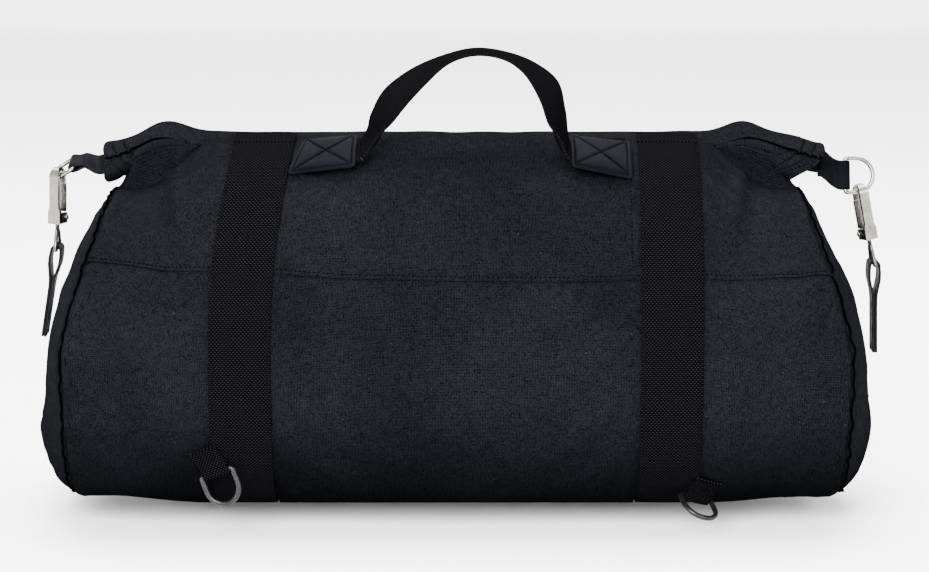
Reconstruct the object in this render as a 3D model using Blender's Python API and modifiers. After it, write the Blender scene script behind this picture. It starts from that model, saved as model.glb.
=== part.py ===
"""A roll-top barrel bag for ropes: canvas panels, a rolled mouth held down by snap hooks, webbing and rings.

Metres, +Z up. X runs along the bag, -Y is the front, and the origin is under the middle of the base.
An angle round the barrel is in degrees: 0 at the front, 90 at the top, 180 at the back, -90 at the base.
"""

import math

import bmesh
import bpy
from mathutils import Matrix, Vector

# Fits
GAP = 0.0003              # between pieces that touch
SEAM_GAP = 0.0011         # between the panels' edges at a seam
RUNNING = 0.0004          # round a ring's bar, inside the fold that holds it

# Canvas barrel: outer faces
CANVAS = 0.0025
DEPTH = 0.300             # front to back
BELLY_HEIGHT = 0.1435     # base to the widest line
FRONT_RISE = 0.166        # widest line to the ridge
BACK_RISE = 0.128         # widest line to the back panel's top, under the roll
BASE_PRESS = 0.006        # how far the base is pressed flat
SQUARENESS = 2.2          # 2 is an ellipse, more is squarer
SEAM_REACH = 0.3225       # middle to the end seams, below the widest line
SEAM_LEAN = 0.034         # how much nearer the middle the seams are at the top
END_BULGE = 0.028         # how far an end panel stands out past the seam
END_MIDDLE = 0.6          # height of its furthest place, as a share of the widest line's
END_TUCK = 0.008          # how much smaller the barrel is at the seams
RIDGE_DROP = 0.046        # how far the front's top comes down at the ends
BACK_DROP = 0.010
TAPER_LENGTH = 0.122      # the stretch where the barrel narrows, before each seam
TOP_TAPER_LENGTH = 0.078  # the stretch where the ridge comes down
TOP_TAPER_END = 0.0175    # where that ends, before the seam's top
SEAM_LAP = 0.002          # how far the barrel reaches past the end panels' rims
FRONT_SEAM_ANGLE = 20.0
BACK_SEAM_ANGLE = 160.0
SEAM_ANGLE_RISE = 13.0    # how much higher those two seams are at the ends, as an angle
FRONT_EDGE_ANGLE = 83.5
BACK_EDGE_ANGLE = 91.0

# Rolled mouth
ROLL_CANVAS = 0.0035      # both walls of the mouth together
ROLL_DEPTH = 0.064
ROLL_HEIGHT = 0.036
ROLL_TURNS = 1.75
ROLL_PITCH = 0.0056       # from one wrap to the next
ROLL_REACH = {-1: SEAM_REACH - 0.0255, 1: SEAM_REACH - 0.0135}
ROLL_CENTRE_Y = 0.0145
ROLL_END_Y = 0.006
ROLL_CLEARANCE = 0.0012   # over the back panel
ROLL_END_DROP = 0.008
ROLL_BUMP = 0.009         # how high the fold beside each strap stands
ROLL_BUMP_PLACE = SEAM_REACH - 0.0775
ROLL_BUMP_WIDTH = 0.024
BATTEN_WIDTH = 0.028
BATTEN_THICKNESS = 0.002
BATTEN_REACH = SEAM_REACH - 0.0605

# Webbing round the barrel
WEBBING = 0.0024
STRAP_WIDTH = 0.050
STRAP_INSET = {-1: 0.1465, 1: 0.1475}   # from the end seams' reach to the middle of each strap
STRAP_PLACE = {side: side * (SEAM_REACH - STRAP_INSET[side]) for side in (-1, 1)}
STRAP_SLANT = {-1: 0.017, 1: 0.0}
STRAP_TOP_ANGLE = 82.0
STRAP_BACK_ANGLE = 116.0
GROOVE = 0.0036           # how far the base gives way under a strap
GROOVE_EDGE = 0.005

# Carry handle
HANDLE_WIDTH = 0.038
HANDLE_ANGLE = 69.0
PATCH_LENGTH = 0.050
PATCH_MARGIN = 0.005      # past the webbing, on each side
PATCH_LEATHER = 0.0020
PATCH_GAP = {-1: 0.001, 1: 0.005}       # from each patch to the strap beside it
STRAP_TOP = {side: STRAP_PLACE[side] + STRAP_SLANT[side] for side in (-1, 1)}
HANDLE_FOOT = {side: STRAP_TOP[side] - side * (STRAP_WIDTH / 2 + PATCH_GAP[side] + PATCH_LENGTH)
               for side in (-1, 1)}     # where the webbing comes out of each patch
HANDLE_HEIGHT = 0.0815    # foot to the middle of the arch
HANDLE_SPLIT = 0.24       # share of the way along the arch, from each foot, that flexes

# Nickel rings and leather tabs at the roll's ends
RING_WIRE = 0.0036
RING_BAR = 0.0295         # middle to middle of the wire
RING_DEPTH = 0.0235
TAB_LEATHER = 0.0020
TAB_WIDTH = 0.0245
RING_TILT = {-1: 13.0, 1: 74.0}         # of the ring's bar, from flat
RING_SLOPE = {-1: 0.62, 1: 0.12}        # how steeply the ring slopes down, away from the bag
TAB_ROOT_TILT = {-1: 32.0, 1: 66.0}     # of the tab where it leaves the roll
RING_HELD_AT = {-1: 26.0, 1: 16.0}      # how far round the ring's bow, from the lower leg, the hook holds it

# Snap hooks
HOOK_WIDTH = 0.011
HOOK_METAL = 0.0028
HOOK_THROAT = RING_WIRE + 0.0059        # inside the hook: the ring it holds, with room to move
HOOK_HEIGHT = 0.048
HOOK_BASE = 0.009
HOOK_LUG = 0.0024
NOSE_DROP = 0.0065
GATE_METAL = 0.0024
GATE_KNUCKLE = 0.0028     # radius
PIN_RADIUS = 0.0012
PIN_HEIGHT = 0.0048
SPRING_WIRE = 0.0006
POST_RADIUS = 0.0019
POST_HEAD = 0.0029
HEAD_HEIGHT = 0.0015
EYE_WIRE = 0.0032
EYE_DROP = 0.0215         # hook's base to the eye's bar
HOOK_TURN = 20.0          # of the hook about its post
EYE_BAR = {-1: (-SEAM_REACH - 0.0165, 0.0, 0.2100), 1: (SEAM_REACH + 0.0310, 0.0, 0.1970)}
HOOK_LEAN = {-1: 1.0, 1: 11.0}
HELD_ROOM = {-1: 0.0044, 1: 0.0026}     # hook's inner top to the ring's wire
HELD_DROP = {side: HELD_ROOM[side] + RING_WIRE / 2 for side in (-1, 1)}

# Leather straps that hold the hooks
HOOK_STRAP_WIDTH = 0.025
HOOK_STRAP_LENGTH = 0.075
HOOK_STRAP_TILT = {-1: 9.0, 1: 1.0}

# Black rings low on the webbing
LOW_WIRE = 0.0044
LOW_BAR = 0.0290
LOW_DEPTH = 0.027
LOW_LOOP_WEBBING = 0.0016
LOW_LOOP_WIDTH = 0.0235
LOW_LOOP_LENGTH = 0.024
LOW_STEP = {-1: 0.021, 1: 0.023}        # from the strap's middle to each ring, away from the bag's middle
LOW_ANGLE = {-1: -38.0, 1: -53.4}       # of the rings round the barrel
LOW_PLACE = {side: (STRAP_PLACE[side] + side * LOW_STEP[side], LOW_ANGLE[side]) for side in (-1, 1)}
LOW_TILT = {-1: 27.0, 1: -27.0}         # of the bars along the barrel's face
LOW_SWING = {-1: 38.0, 1: 121.0}        # of the rings, out from the barrel's face

SIDES = ((-1, "left"), (1, "right"))
FINISHES = {
    "canvas": (0.020, 0.020, 0.024, 0.95, 0.0),
    "webbing": (0.008, 0.008, 0.009, 0.92, 0.0),
    "leather": (0.014, 0.014, 0.017, 0.42, 0.0),
    "nickel": (0.56, 0.53, 0.48, 0.34, 1.0),
    "black_steel": (0.012, 0.012, 0.013, 0.30, 0.6),
    "batten": (0.05, 0.05, 0.05, 0.5, 0.0),
}


# Scene helpers

def clear_scene():
    for old in list(bpy.data.objects):
        bpy.data.objects.remove(old, do_unlink=True)


def make_collection(name):
    made = bpy.data.collections.new(name)
    bpy.context.scene.collection.children.link(made)
    return made


def make_material(name, finish):
    red, green, blue, roughness, metallic = FINISHES[finish]
    material = bpy.data.materials.new(name)
    material.use_nodes = True
    shader = material.node_tree.nodes["Principled BSDF"]
    shader.inputs["Base Color"].default_value = (red, green, blue, 1.0)
    shader.inputs["Roughness"].default_value = roughness
    shader.inputs["Metallic"].default_value = metallic
    return material


def add_object(name, data, finish=None):
    """Puts a mesh or curve into the bag's collection, or among the cutters when it has no finish."""
    made = bpy.data.objects.new(name, data)
    if finish is None:
        CUTTERS.objects.link(made)
        made.hide_render = True
        made.display_type = "WIRE"
    else:
        BAG.objects.link(made)
        data.materials.append(make_material(name, finish))
    return made


def put_origin(made, place):
    """Moves an object's origin to a place in its own frame and leaves its shape where it is."""
    made.data.transform(Matrix.Translation(-Vector(place)))
    made.location = made.matrix_basis @ Vector(place)
    return made


def smoothstep(value, low, high):
    share = min(1.0, max(0.0, (value - low) / (high - low)))
    return share * share * (3 - 2 * share)


def signed_power(value, power):
    return math.copysign(abs(value) ** power, value)


def mix(low, high, share):
    return low + (high - low) * share


def curve_through(points, count):
    """count points on a smooth curve through the given ones, evenly spread over their list."""
    held = [points[0]] + list(points) + [points[-1]]
    made = []
    for step in range(count):
        place = step * (len(points) - 1) / (count - 1)
        index = min(int(place), len(points) - 2)
        t = place - index
        before, start, end, after = held[index:index + 4]
        made.append(0.5 * ((2 * start) + (end - before) * t
                           + (2 * before - 5 * start + 4 * end - after) * t * t
                           + (3 * start - before - 3 * end + after) * t ** 3))
    return made


# Builders

def sheet(name, rows, thickness, finish, offset=0.0):
    """A loft through rows of points, given its thickness by Solidify: the barrel's panels, straps and folds.
    offset 0 thickens it evenly, and -1 inwards of the face that the rows turn out."""
    mesh = bpy.data.meshes.new(name)
    across = len(rows[0])
    points = [point for row in rows for point in row]
    faces = [(line * across + i, line * across + i + 1, (line + 1) * across + i + 1, (line + 1) * across + i)
             for line in range(len(rows) - 1) for i in range(across - 1)]
    mesh.from_pydata(points, [], faces)
    made = add_object(name, mesh, finish)
    solid = made.modifiers.new("thickness", "SOLIDIFY")
    solid.thickness = thickness
    solid.offset = offset
    solid.use_even_offset = True
    mesh.shade_smooth()
    return made


def wire(name, points, diameter, finish, cyclic=False, fineness=3):
    """A round wire through the points."""
    curve = bpy.data.curves.new(name, "CURVE")
    curve.dimensions = "3D"
    curve.bevel_depth = diameter / 2
    curve.bevel_resolution = fineness
    curve.use_fill_caps = True
    spline = curve.splines.new("POLY")
    spline.points.add(len(points) - 1)
    for held, point in zip(spline.points, points):
        held.co = (*point, 1.0)
    spline.use_cyclic_u = cyclic
    return add_object(name, curve, finish)


def plate(name, outline, thickness, finish):
    """A flat outline of points in X and Y, given its thickness along Z, as a mesh."""
    curve = bpy.data.curves.new(name + "_outline", "CURVE")
    curve.dimensions = "2D"
    curve.fill_mode = "BOTH"
    curve.extrude = thickness / 2
    spline = curve.splines.new("POLY")
    spline.points.add(len(outline) - 1)
    for held, point in zip(spline.points, outline):
        held.co = (*point, 0.0, 1.0)
    spline.use_cyclic_u = True
    return as_mesh(add_object(name + "_outline", curve), name, finish)


def as_mesh(source, name, finish):
    """The evaluated shape of a curve as a welded mesh object, in the curve's place."""
    bpy.context.view_layer.update()
    graph = bpy.context.evaluated_depsgraph_get()
    mesh = bpy.data.meshes.new_from_object(source.evaluated_get(graph))
    mesh.name = name
    shape = bmesh.new()
    shape.from_mesh(mesh)
    bmesh.ops.remove_doubles(shape, verts=shape.verts, dist=1e-6)
    bmesh.ops.recalc_face_normals(shape, faces=shape.faces)
    shape.to_mesh(mesh)
    shape.free()
    mesh.materials.clear()
    made = add_object(name, mesh, finish)
    made.matrix_world = source.matrix_world
    bpy.data.objects.remove(source, do_unlink=True)
    return made


def block(name, low, high, finish=None):
    """A box between two corners."""
    mesh = bpy.data.meshes.new(name)
    shape = bmesh.new()
    bmesh.ops.create_cube(shape, size=1.0)
    size = Vector(high) - Vector(low)
    middle = (Vector(high) + Vector(low)) / 2
    bmesh.ops.scale(shape, vec=size, verts=shape.verts)
    bmesh.ops.translate(shape, vec=middle, verts=shape.verts)
    shape.to_mesh(mesh)
    shape.free()
    return add_object(name, mesh, finish)


def rod(name, radius, start, end, finish=None, sides=20):
    """A cylinder from one point to another."""
    mesh = bpy.data.meshes.new(name)
    shape = bmesh.new()
    start, end = Vector(start), Vector(end)
    way = end - start
    bmesh.ops.create_cone(shape, cap_ends=True, segments=sides,
                          radius1=radius, radius2=radius, depth=way.length)
    turn = way.to_track_quat("Z", "Y").to_matrix().to_4x4()
    bmesh.ops.transform(shape, matrix=Matrix.Translation((start + end) / 2) @ turn, verts=shape.verts)
    shape.to_mesh(mesh)
    shape.free()
    return add_object(name, mesh, finish)


def boolean(made, other, operation):
    """Cuts made by other, or joins other to it."""
    change = made.modifiers.new(operation.lower(), "BOOLEAN")
    change.operation = operation
    change.solver = "EXACT"
    change.object = other


# The barrel's surface

def strap_middle(side, angle):
    """Where along the bag a strap's middle is at an angle round the barrel."""
    return STRAP_PLACE[side] + STRAP_SLANT[side] * smoothstep(angle, 0.0, 85.0)


def seam_place(angle):
    """How far from the middle of the bag the end seams are at an angle round the barrel."""
    return SEAM_REACH - SEAM_LEAN * max(0.0, math.sin(math.radians(angle)))


def give_under_straps(x, angle):
    """How far the base gives way under the straps."""
    under = smoothstep(-math.sin(math.radians(angle)), 0.84, 0.935)
    near = min(abs(x - STRAP_PLACE[side]) for side, _ in SIDES)
    return GROOVE * under * (1 - smoothstep(near, STRAP_WIDTH / 2 + GAP, STRAP_WIDTH / 2 + GROOVE_EDGE))


def barrel_point(x, angle, lift=0.0):
    """A point of the barrel's outer face, or lift outside it.
    The section is a superellipse, taller in front than at the back, and its base is pressed flat."""
    across, up = math.cos(math.radians(angle)), math.sin(math.radians(angle))
    narrow = smoothstep(abs(x), SEAM_REACH - TAPER_LENGTH, SEAM_REACH)
    top_end = SEAM_REACH - SEAM_LEAN - TOP_TAPER_END
    lower = smoothstep(abs(x), top_end - TOP_TAPER_LENGTH, top_end)
    if up < 0:
        reach = BELLY_HEIGHT + BASE_PRESS - END_TUCK * narrow
    elif across >= 0:
        reach = FRONT_RISE - RIDGE_DROP * lower
    else:
        reach = BACK_RISE - BACK_DROP * lower
    half_depth = DEPTH / 2 - END_TUCK * narrow
    power = 2 / SQUARENESS
    y = -half_depth * signed_power(across, power)
    z = max(BELLY_HEIGHT + reach * signed_power(up, power), 0.0)
    z += give_under_straps(x, angle)
    if lift:
        step = 1.0
        side = barrel_point(x, angle + step) - barrel_point(x, angle - step)
        out = Vector((0.0, -side.z, side.y)).normalized()
        return Vector((x, y, z)) + out * lift
    return Vector((x, y, z))


def end_point(side, share, angle):
    """A point of an end panel's outer face: share 1 on its rim, 0 at its middle. It is a shallow dome."""
    place = seam_place(angle)
    rim = barrel_point(side * place, angle)
    middle = Vector((side * (SEAM_REACH + END_BULGE), 0.0, END_MIDDLE * BELLY_HEIGHT))
    roundness = 2.6 - 0.5 * math.sin(math.radians(angle))
    made = middle.lerp(rim, share)
    made.x = rim.x + (middle.x - rim.x) * (1 - share ** roundness)
    return made


# Canvas

def panel(name, low, high, rows, columns):
    """A panel of the barrel between two angles. Its ends follow the end seams.
    low and high are each an angle and its share of the rise that the long seams make towards the ends."""
    shares = sorted({i / columns * 2 - 1 for i in range(columns + 1)} | set(groove_shares()))
    lines = []
    for row in range(rows + 1):
        line = []
        for share in shares:
            rise = SEAM_ANGLE_RISE * smoothstep(abs(share), 0.60, 0.95)
            angle = mix(low[0] + rise * low[1], high[0] + rise * high[1], row / rows)
            line.append(barrel_point(share * (seam_place(angle) + SEAM_LAP), angle))
        lines.append(line)
    return sheet(name, lines, CANVAS, "canvas", offset=1.0)


def groove_shares():
    """The places along the bag where the base steps in under a strap, as shares of the seams' reach."""
    half = STRAP_WIDTH / 2
    edges = (-half - GROOVE_EDGE, -half - GAP, half + GAP, half + GROOVE_EDGE)
    return [(STRAP_PLACE[side] + edge) / (SEAM_REACH + SEAM_LAP) for side, _ in SIDES for edge in edges]


def barrel_panels():
    half_gap = math.degrees(SEAM_GAP / DEPTH)
    panel("base_panel", (FRONT_SEAM_ANGLE - half_gap, 1), (BACK_SEAM_ANGLE - 360 + half_gap, -1), 36, 14)
    panel("front_upper_panel", (FRONT_EDGE_ANGLE, 0), (FRONT_SEAM_ANGLE + half_gap, 1), 10, 14)
    panel("back_upper_panel", (BACK_SEAM_ANGLE - half_gap, -1), (BACK_EDGE_ANGLE, 0), 10, 14)


def end_panels():
    rim = 1 - (CANVAS + 3 * GAP) / (END_MIDDLE * BELLY_HEIGHT)
    shares = [rim * math.sin(math.pi / 2 * i / 6) for i in range(7)]
    for side, word in SIDES:
        points = [end_point(side, 0.0, 0.0)]
        angles = [side * (360 * i / 36) for i in range(36)]
        for share in shares[1:]:
            points += [end_point(side, share, angle - 360 * round(angle / 360)) for angle in angles]
        count = len(angles)
        faces = [(0, 1 + (i + 1) % count, 1 + i) for i in range(count)]
        for ring in range(len(shares) - 2):
            inner, outer = 1 + ring * count, 1 + (ring + 1) * count
            faces += [(inner + i, inner + (i + 1) % count, outer + (i + 1) % count, outer + i)
                      for i in range(count)]
        mesh = bpy.data.meshes.new(word + "_end_panel")
        mesh.from_pydata(points, [], faces)
        made = add_object(word + "_end_panel", mesh, "canvas")
        solid = made.modifiers.new("thickness", "SOLIDIFY")
        solid.thickness = CANVAS
        solid.offset = -1.0
        mesh.shade_smooth()


# Rolled mouth

def roll_middle(x):
    """The middle of the roll at a place along the bag: up beside the straps and down at the ends."""
    side = 1 if x > 0 else -1
    reach = ROLL_REACH[side]
    out = abs(x)
    bump = math.exp(-((out - ROLL_BUMP_PLACE) / ROLL_BUMP_WIDTH) ** 2)
    down = smoothstep(out, reach - 0.045, reach)
    lying = BELLY_HEIGHT + BACK_RISE + ROLL_CLEARANCE + ROLL_HEIGHT / 2
    y = mix(ROLL_CENTRE_Y, ROLL_END_Y, smoothstep(out, 0.20, reach))
    return Vector((x, y, lying + ROLL_BUMP * bump - ROLL_END_DROP * down))


def rolled_mouth():
    """Both walls of the mouth wound up together: a spiral, taken along the bag."""
    start, turn = 160.0, 360.0 * ROLL_TURNS
    count, stations = 40, 24
    rows = []
    for i in range(stations + 1):
        x = mix(-ROLL_REACH[-1], ROLL_REACH[1], i / stations)
        middle = roll_middle(x)
        row = []
        for j in range(count + 1):
            gone = turn * j / count
            shrink = ROLL_PITCH * gone / 360 + ROLL_CANVAS / 2
            angle = math.radians(start - gone)
            power = 2 / 2.6
            y = (ROLL_DEPTH / 2 - shrink) * signed_power(math.cos(angle), power)
            z = (ROLL_HEIGHT / 2 - shrink) * signed_power(math.sin(angle), power)
            row.append(middle + Vector((0.0, y, z)))
        rows.append(row)
    sheet("rolled_mouth", rows, ROLL_CANVAS, "canvas")
    stations = [mix(-BATTEN_REACH, BATTEN_REACH, i / 20) for i in range(21)]
    half = Vector((0.0, BATTEN_WIDTH / 2, 0.0))
    sheet("mouth_batten", [[roll_middle(x) - half, roll_middle(x) + half] for x in stations],
          BATTEN_THICKNESS, "batten")


# Webbing

def barrel_straps():
    """Two bands sewn round the barrel: from the front's ridge, under the base, to below the roll behind."""
    for side, word in SIDES:
        rows = []
        count, across = 88, 4
        for i in range(count + 1):
            angle = mix(STRAP_TOP_ANGLE, STRAP_BACK_ANGLE - 360, i / count)
            low = strap_middle(side, angle) - STRAP_WIDTH / 2
            rows.append([barrel_point(low + STRAP_WIDTH * j / across, angle, 2 * GAP + WEBBING / 2)
                         for j in range(across + 1)])
        sheet(word + "_barrel_strap", rows, WEBBING, "webbing")


def handle_line():
    """The middle of the handle's webbing, from patch to patch, and the way its width lies at each point."""
    seat = barrel_point(0.0, HANDLE_ANGLE, GAP + WEBBING / 2)
    left, right = HANDLE_FOOT[-1], HANDLE_FOOT[1]
    span = right - left
    shape = ((0.000, 0.000), (0.035, 0.012), (0.085, 0.140), (0.110, 0.290), (0.175, 0.520), (0.290, 0.750),
             (0.415, 0.920), (0.550, 1.000), (0.690, 0.960), (0.805, 0.830), (0.895, 0.600), (0.930, 0.320),
             (0.945, 0.150), (0.975, 0.012), (1.000, 0.000))
    slope = (barrel_point(0.0, HANDLE_ANGLE + 4) - barrel_point(0.0, HANDLE_ANGLE - 4)).normalized()
    points = [Vector((left + span * along, seat.y, seat.z + HANDLE_HEIGHT * high)) for along, high in shape]
    ways = []
    for along, high in shape:
        lean = math.sin(math.pi * min(1.0, high)) * (-0.42 if along < 0.5 else 0.42)
        way = slope.lerp(Vector((0.0, 1.0, 0.04)), smoothstep(high, 0.55, 1.0)) + Vector((lean, 0.0, 0.0))
        ways.append(way.normalized())
    return points, ways


def handle_rows(start, end, count):
    """Rows across the handle's webbing between two shares of its line."""
    points, ways = handle_line()
    fine = 141
    line, way = curve_through(points, fine), curve_through(ways, fine)
    rows = []
    for i in range(count + 1):
        index = round(mix(start, end, i / count) * (fine - 1))
        half = way[index].normalized() * HANDLE_WIDTH / 2
        rows.append([line[index] - half, line[index] + half])
    return rows


def handle():
    """The webbing's arch, its two flexing feet, and its ends sewn down under leather patches."""
    arch = sheet("handle_arch", handle_rows(HANDLE_SPLIT, 1 - HANDLE_SPLIT, 26), WEBBING, "webbing")
    put_origin(arch, barrel_point(0.0, HANDLE_ANGLE, GAP + WEBBING / 2))
    break_share = 0.008
    feet = {-1: (0.0, HANDLE_SPLIT - break_share), 1: (1.0, 1 - HANDLE_SPLIT + break_share)}
    half_angle = math.degrees(HANDLE_WIDTH / 2 / FRONT_RISE)
    for side, word in SIDES:
        bent = handle_rows(*feet[side], 12)
        lift = GAP + WEBBING / 2
        reach = HANDLE_FOOT[side] + side * (PATCH_LENGTH - PATCH_MARGIN)
        low, high = HANDLE_ANGLE - half_angle, HANDLE_ANGLE + half_angle
        sewn = [[barrel_point(mix(reach, HANDLE_FOOT[side], i / 5), mix(low, high, j / 4), lift)
                 for j in range(5)] for i in range(6)]
        bent = [[row[0].lerp(row[1], j / 4) for j in range(5)] for row in bent]
        free = 4
        for i in range(free):
            lying = [barrel_point(bent[i][j].x, mix(low, high, j / 4), lift) for j in range(5)]
            rise = smoothstep(i, 0, free)
            bent[i] = [lying[j].lerp(bent[i][j], rise) for j in range(5)]
        sheet(word + "_handle_foot", sewn[:-1] + bent, WEBBING, "webbing")
        patch_half = math.degrees((HANDLE_WIDTH / 2 + PATCH_MARGIN) / FRONT_RISE)
        lift = 2 * GAP + WEBBING + PATCH_LEATHER / 2
        near, far = HANDLE_FOOT[side] + side * 0.002, HANDLE_FOOT[side] + side * PATCH_LENGTH
        low, high = HANDLE_ANGLE - patch_half, HANDLE_ANGLE + patch_half
        rows = [[barrel_point(mix(near, far, i / 3), mix(low, high, j / 8), lift)
                 for j in range(9)] for i in range(4)]
        sheet(word + "_handle_patch", rows, PATCH_LEATHER, "leather")


# Rings and folds

def ring_line(middle, bar_way, out_way, bar, depth, turn=180.0, steps=16):
    """The middle line of a D-ring, whose two legs go from the ends of its bar to a half round bow.
    middle is the bar's middle. The line ends turn degrees round the bow, from its lower leg."""
    radius = bar / 2
    leg = depth - radius
    made = [middle + bar_way * radius] if turn == 180.0 else []
    for i in range(steps + 1):
        angle = math.radians(mix(180.0, 180.0 - turn, 1 - i / steps))
        along, out = math.cos(angle) * radius, leg + math.sin(angle) * radius
        made.append(middle + bar_way * along + out_way * out)
    return made + [middle - bar_way * radius] if turn == 180.0 else made


def fold_path(thickness, bore, length, neck, low=0.0):
    """A strip's middle line round a bar at (0, 0): (out, across) down one leg, round, and up the other leg.
    The legs lie together, and low is how far across from the bar they come to lie."""
    eye = bore + thickness / 2
    leg = (thickness + GAP) / 2
    legs = [(mix(neck, length, i / 4), low) for i in (4, 3, 2, 1, 0)]
    around = [math.radians(mix(62, 298, i / 10)) for i in range(11)]
    made = [(out, across + leg) for out, across in legs]
    made += [(eye * math.cos(angle), eye * math.sin(angle)) for angle in around]
    return made + [(out, across - leg) for out, across in reversed(legs)]


def fold_rows(pivot, end, bar_way, end_way, width, thickness, bore, neck):
    """Rows of a strip folded round a bar, with both legs running to end.
    The strip's width lies along bar_way at the bar and along end_way at the end."""
    way = end - pivot
    shift = bar_way * way.dot(bar_way)
    leg_way = (way - shift).normalized()
    length = (way - shift).length
    face_way = leg_way.cross(bar_way)
    rows = []
    for out, across in fold_path(thickness, bore, length, neck):
        share = smoothstep(out, 0.4 * neck, length)
        width_way = bar_way.lerp(end_way, share).normalized()
        face = (face_way - width_way * face_way.dot(width_way)).normalized()
        middle = pivot + leg_way * out + shift * share + face * across
        rows.append([middle - width_way * width / 2, middle + width_way * width / 2])
    return rows


def hook_axis(side):
    """The way a hook's chain runs up from the eye's bar."""
    lean = math.radians(HOOK_LEAN[side])
    return Vector((-side * math.sin(lean), 0.0, math.cos(lean)))


def ring_frame(side):
    """A roll ring's bar middle, the way its bar lies, and the way it stands out."""
    rise = EYE_DROP + HOOK_HEIGHT - HOOK_METAL - HELD_DROP[side]
    held = Vector(EYE_BAR[side]) + hook_axis(side) * rise
    tilt = math.radians(RING_TILT[side])
    bar_way = Vector((0.0, math.cos(tilt), math.sin(tilt)))
    out_way = Vector((side * 1.0, 0.0, -RING_SLOPE[side]))
    out_way = (out_way - bar_way * out_way.dot(bar_way)).normalized()
    offset = ring_line(Vector(), bar_way, out_way, RING_BAR, RING_DEPTH, RING_HELD_AT[side])[0]
    return held - offset, bar_way, out_way


def roll_rings_and_tabs():
    """The rings that the hooks hold, in leather tabs that come out of the roll's ends."""
    for side, word in SIDES:
        middle, bar_way, out_way = ring_frame(side)
        line = ring_line(middle, bar_way, out_way, RING_BAR, RING_DEPTH)
        put_origin(wire(word + "_roll_ring", line, RING_WIRE, "nickel", cyclic=True), middle)
        root = roll_middle(side * ROLL_REACH[side]) + Vector((side * 4 * GAP, 0.0, 0.0))
        flat = math.radians(TAB_ROOT_TILT[side])
        root_way = Vector((0.0, math.cos(flat), math.sin(flat)))
        bore = RING_WIRE / 2 + RUNNING
        rows = fold_rows(middle, root, bar_way, root_way, TAB_WIDTH, TAB_LEATHER, bore, 0.009)
        sheet(word + "_roll_tab", rows, TAB_LEATHER, "leather")


def low_ring_frame(side):
    """A low ring on the barrel's face: its bar's middle, the way the bar lies and the way the ring hangs."""
    x, angle = LOW_PLACE[side]
    middle = barrel_point(x, angle, low_ring_lift())
    along = (barrel_point(x, angle + 1) - barrel_point(x, angle - 1)).normalized()
    tilt = math.radians(LOW_TILT[side])
    bar_way = Vector((math.cos(tilt), 0.0, 0.0)) + along * math.sin(tilt)
    leg_way = Vector((-math.sin(tilt), 0.0, 0.0)) + along * math.cos(tilt)
    hang = Matrix.Rotation(math.radians(-LOW_SWING[side]), 3, bar_way) @ -leg_way
    return middle, bar_way, hang


def low_ring_lift():
    """How far outside the barrel's face a low ring's bar is: its loop passes between it and the strap."""
    return WEBBING + 3 * GAP + LOW_LOOP_WEBBING + RUNNING + LOW_WIRE / 2


def low_rings():
    """Black rings for a clip-on strap, hanging in webbing loops that are sewn over the straps' edges."""
    for side, word in SIDES:
        middle, bar_way, hang = low_ring_frame(side)
        line = ring_line(middle, bar_way, hang, LOW_BAR, LOW_DEPTH)
        put_origin(wire(word + "_low_ring", line, LOW_WIRE, "black_steel", cyclic=True), middle)
        x, angle = LOW_PLACE[side]
        lying = WEBBING + 3 * GAP + LOW_LOOP_WEBBING + GAP / 2
        bore, lift = LOW_WIRE / 2 + RUNNING, low_ring_lift()
        path = fold_path(LOW_LOOP_WEBBING, bore, LOW_LOOP_LENGTH, 0.009, lying - lift)
        tilt = math.radians(LOW_TILT[side])
        degree = (barrel_point(x, angle + 1) - barrel_point(x, angle - 1)).length / 2
        rows = []
        for out, across in path:
            row = []
            for j in range(5):
                wide = LOW_LOOP_WIDTH * (j / 4 - 0.5)
                place = x + wide * math.cos(tilt) - out * math.sin(tilt)
                up = wide * math.sin(tilt) + out * math.cos(tilt)
                row.append(barrel_point(place, angle + up / degree, lift + across))
            rows.append(row)
        sheet(word + "_low_loop", rows, LOW_LOOP_WEBBING, "webbing")


# Snap hooks. A hook's own frame has its spine at X 0, its gate towards +X, its width along Z and its
# height along Y.

def hook_frame(side):
    """Places a hook's own frame: its post stands on the chain's axis, over the eye."""
    up = hook_axis(side)
    width_way = Matrix.Rotation(math.radians(side * HOOK_TURN), 3, up) @ Vector((up.z, 0.0, -up.x))
    gate_way = -width_way.cross(up)
    if gate_way.y < 0:
        gate_way, width_way = -gate_way, -width_way
    base = Vector(EYE_BAR[side]) + up * EYE_DROP
    frame = Matrix((gate_way, up, gate_way.cross(up))).transposed().to_4x4()
    frame.translation = base - gate_way * post_place()
    return frame


def post_place():
    """How far from the spine's outer face the swivel post stands."""
    return HOOK_METAL + POST_RADIUS + 0.0023


def hook_depth():
    return 2 * HOOK_METAL + HOOK_THROAT


def pin_place():
    return hook_depth() - GATE_KNUCKLE + 0.0003


def hook_outline():
    """A hook seen from the side: base block, spine, round top and nose."""
    depth = hook_depth()
    outer, inner = depth / 2, HOOK_THROAT / 2
    centre = HOOK_HEIGHT - outer
    arc = [math.pi * i / 12 for i in range(13)]
    made = [(0.0, 0.0), (depth, 0.0), (depth, HOOK_BASE), (HOOK_METAL, HOOK_BASE)]
    made += [(outer - inner * math.cos(a), centre + inner * math.sin(a)) for a in arc]
    made += [(depth - HOOK_METAL, centre - NOSE_DROP), (depth, centre - NOSE_DROP)]
    made += [(outer + outer * math.cos(a), centre + outer * math.sin(a)) for a in arc]
    return made


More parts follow.
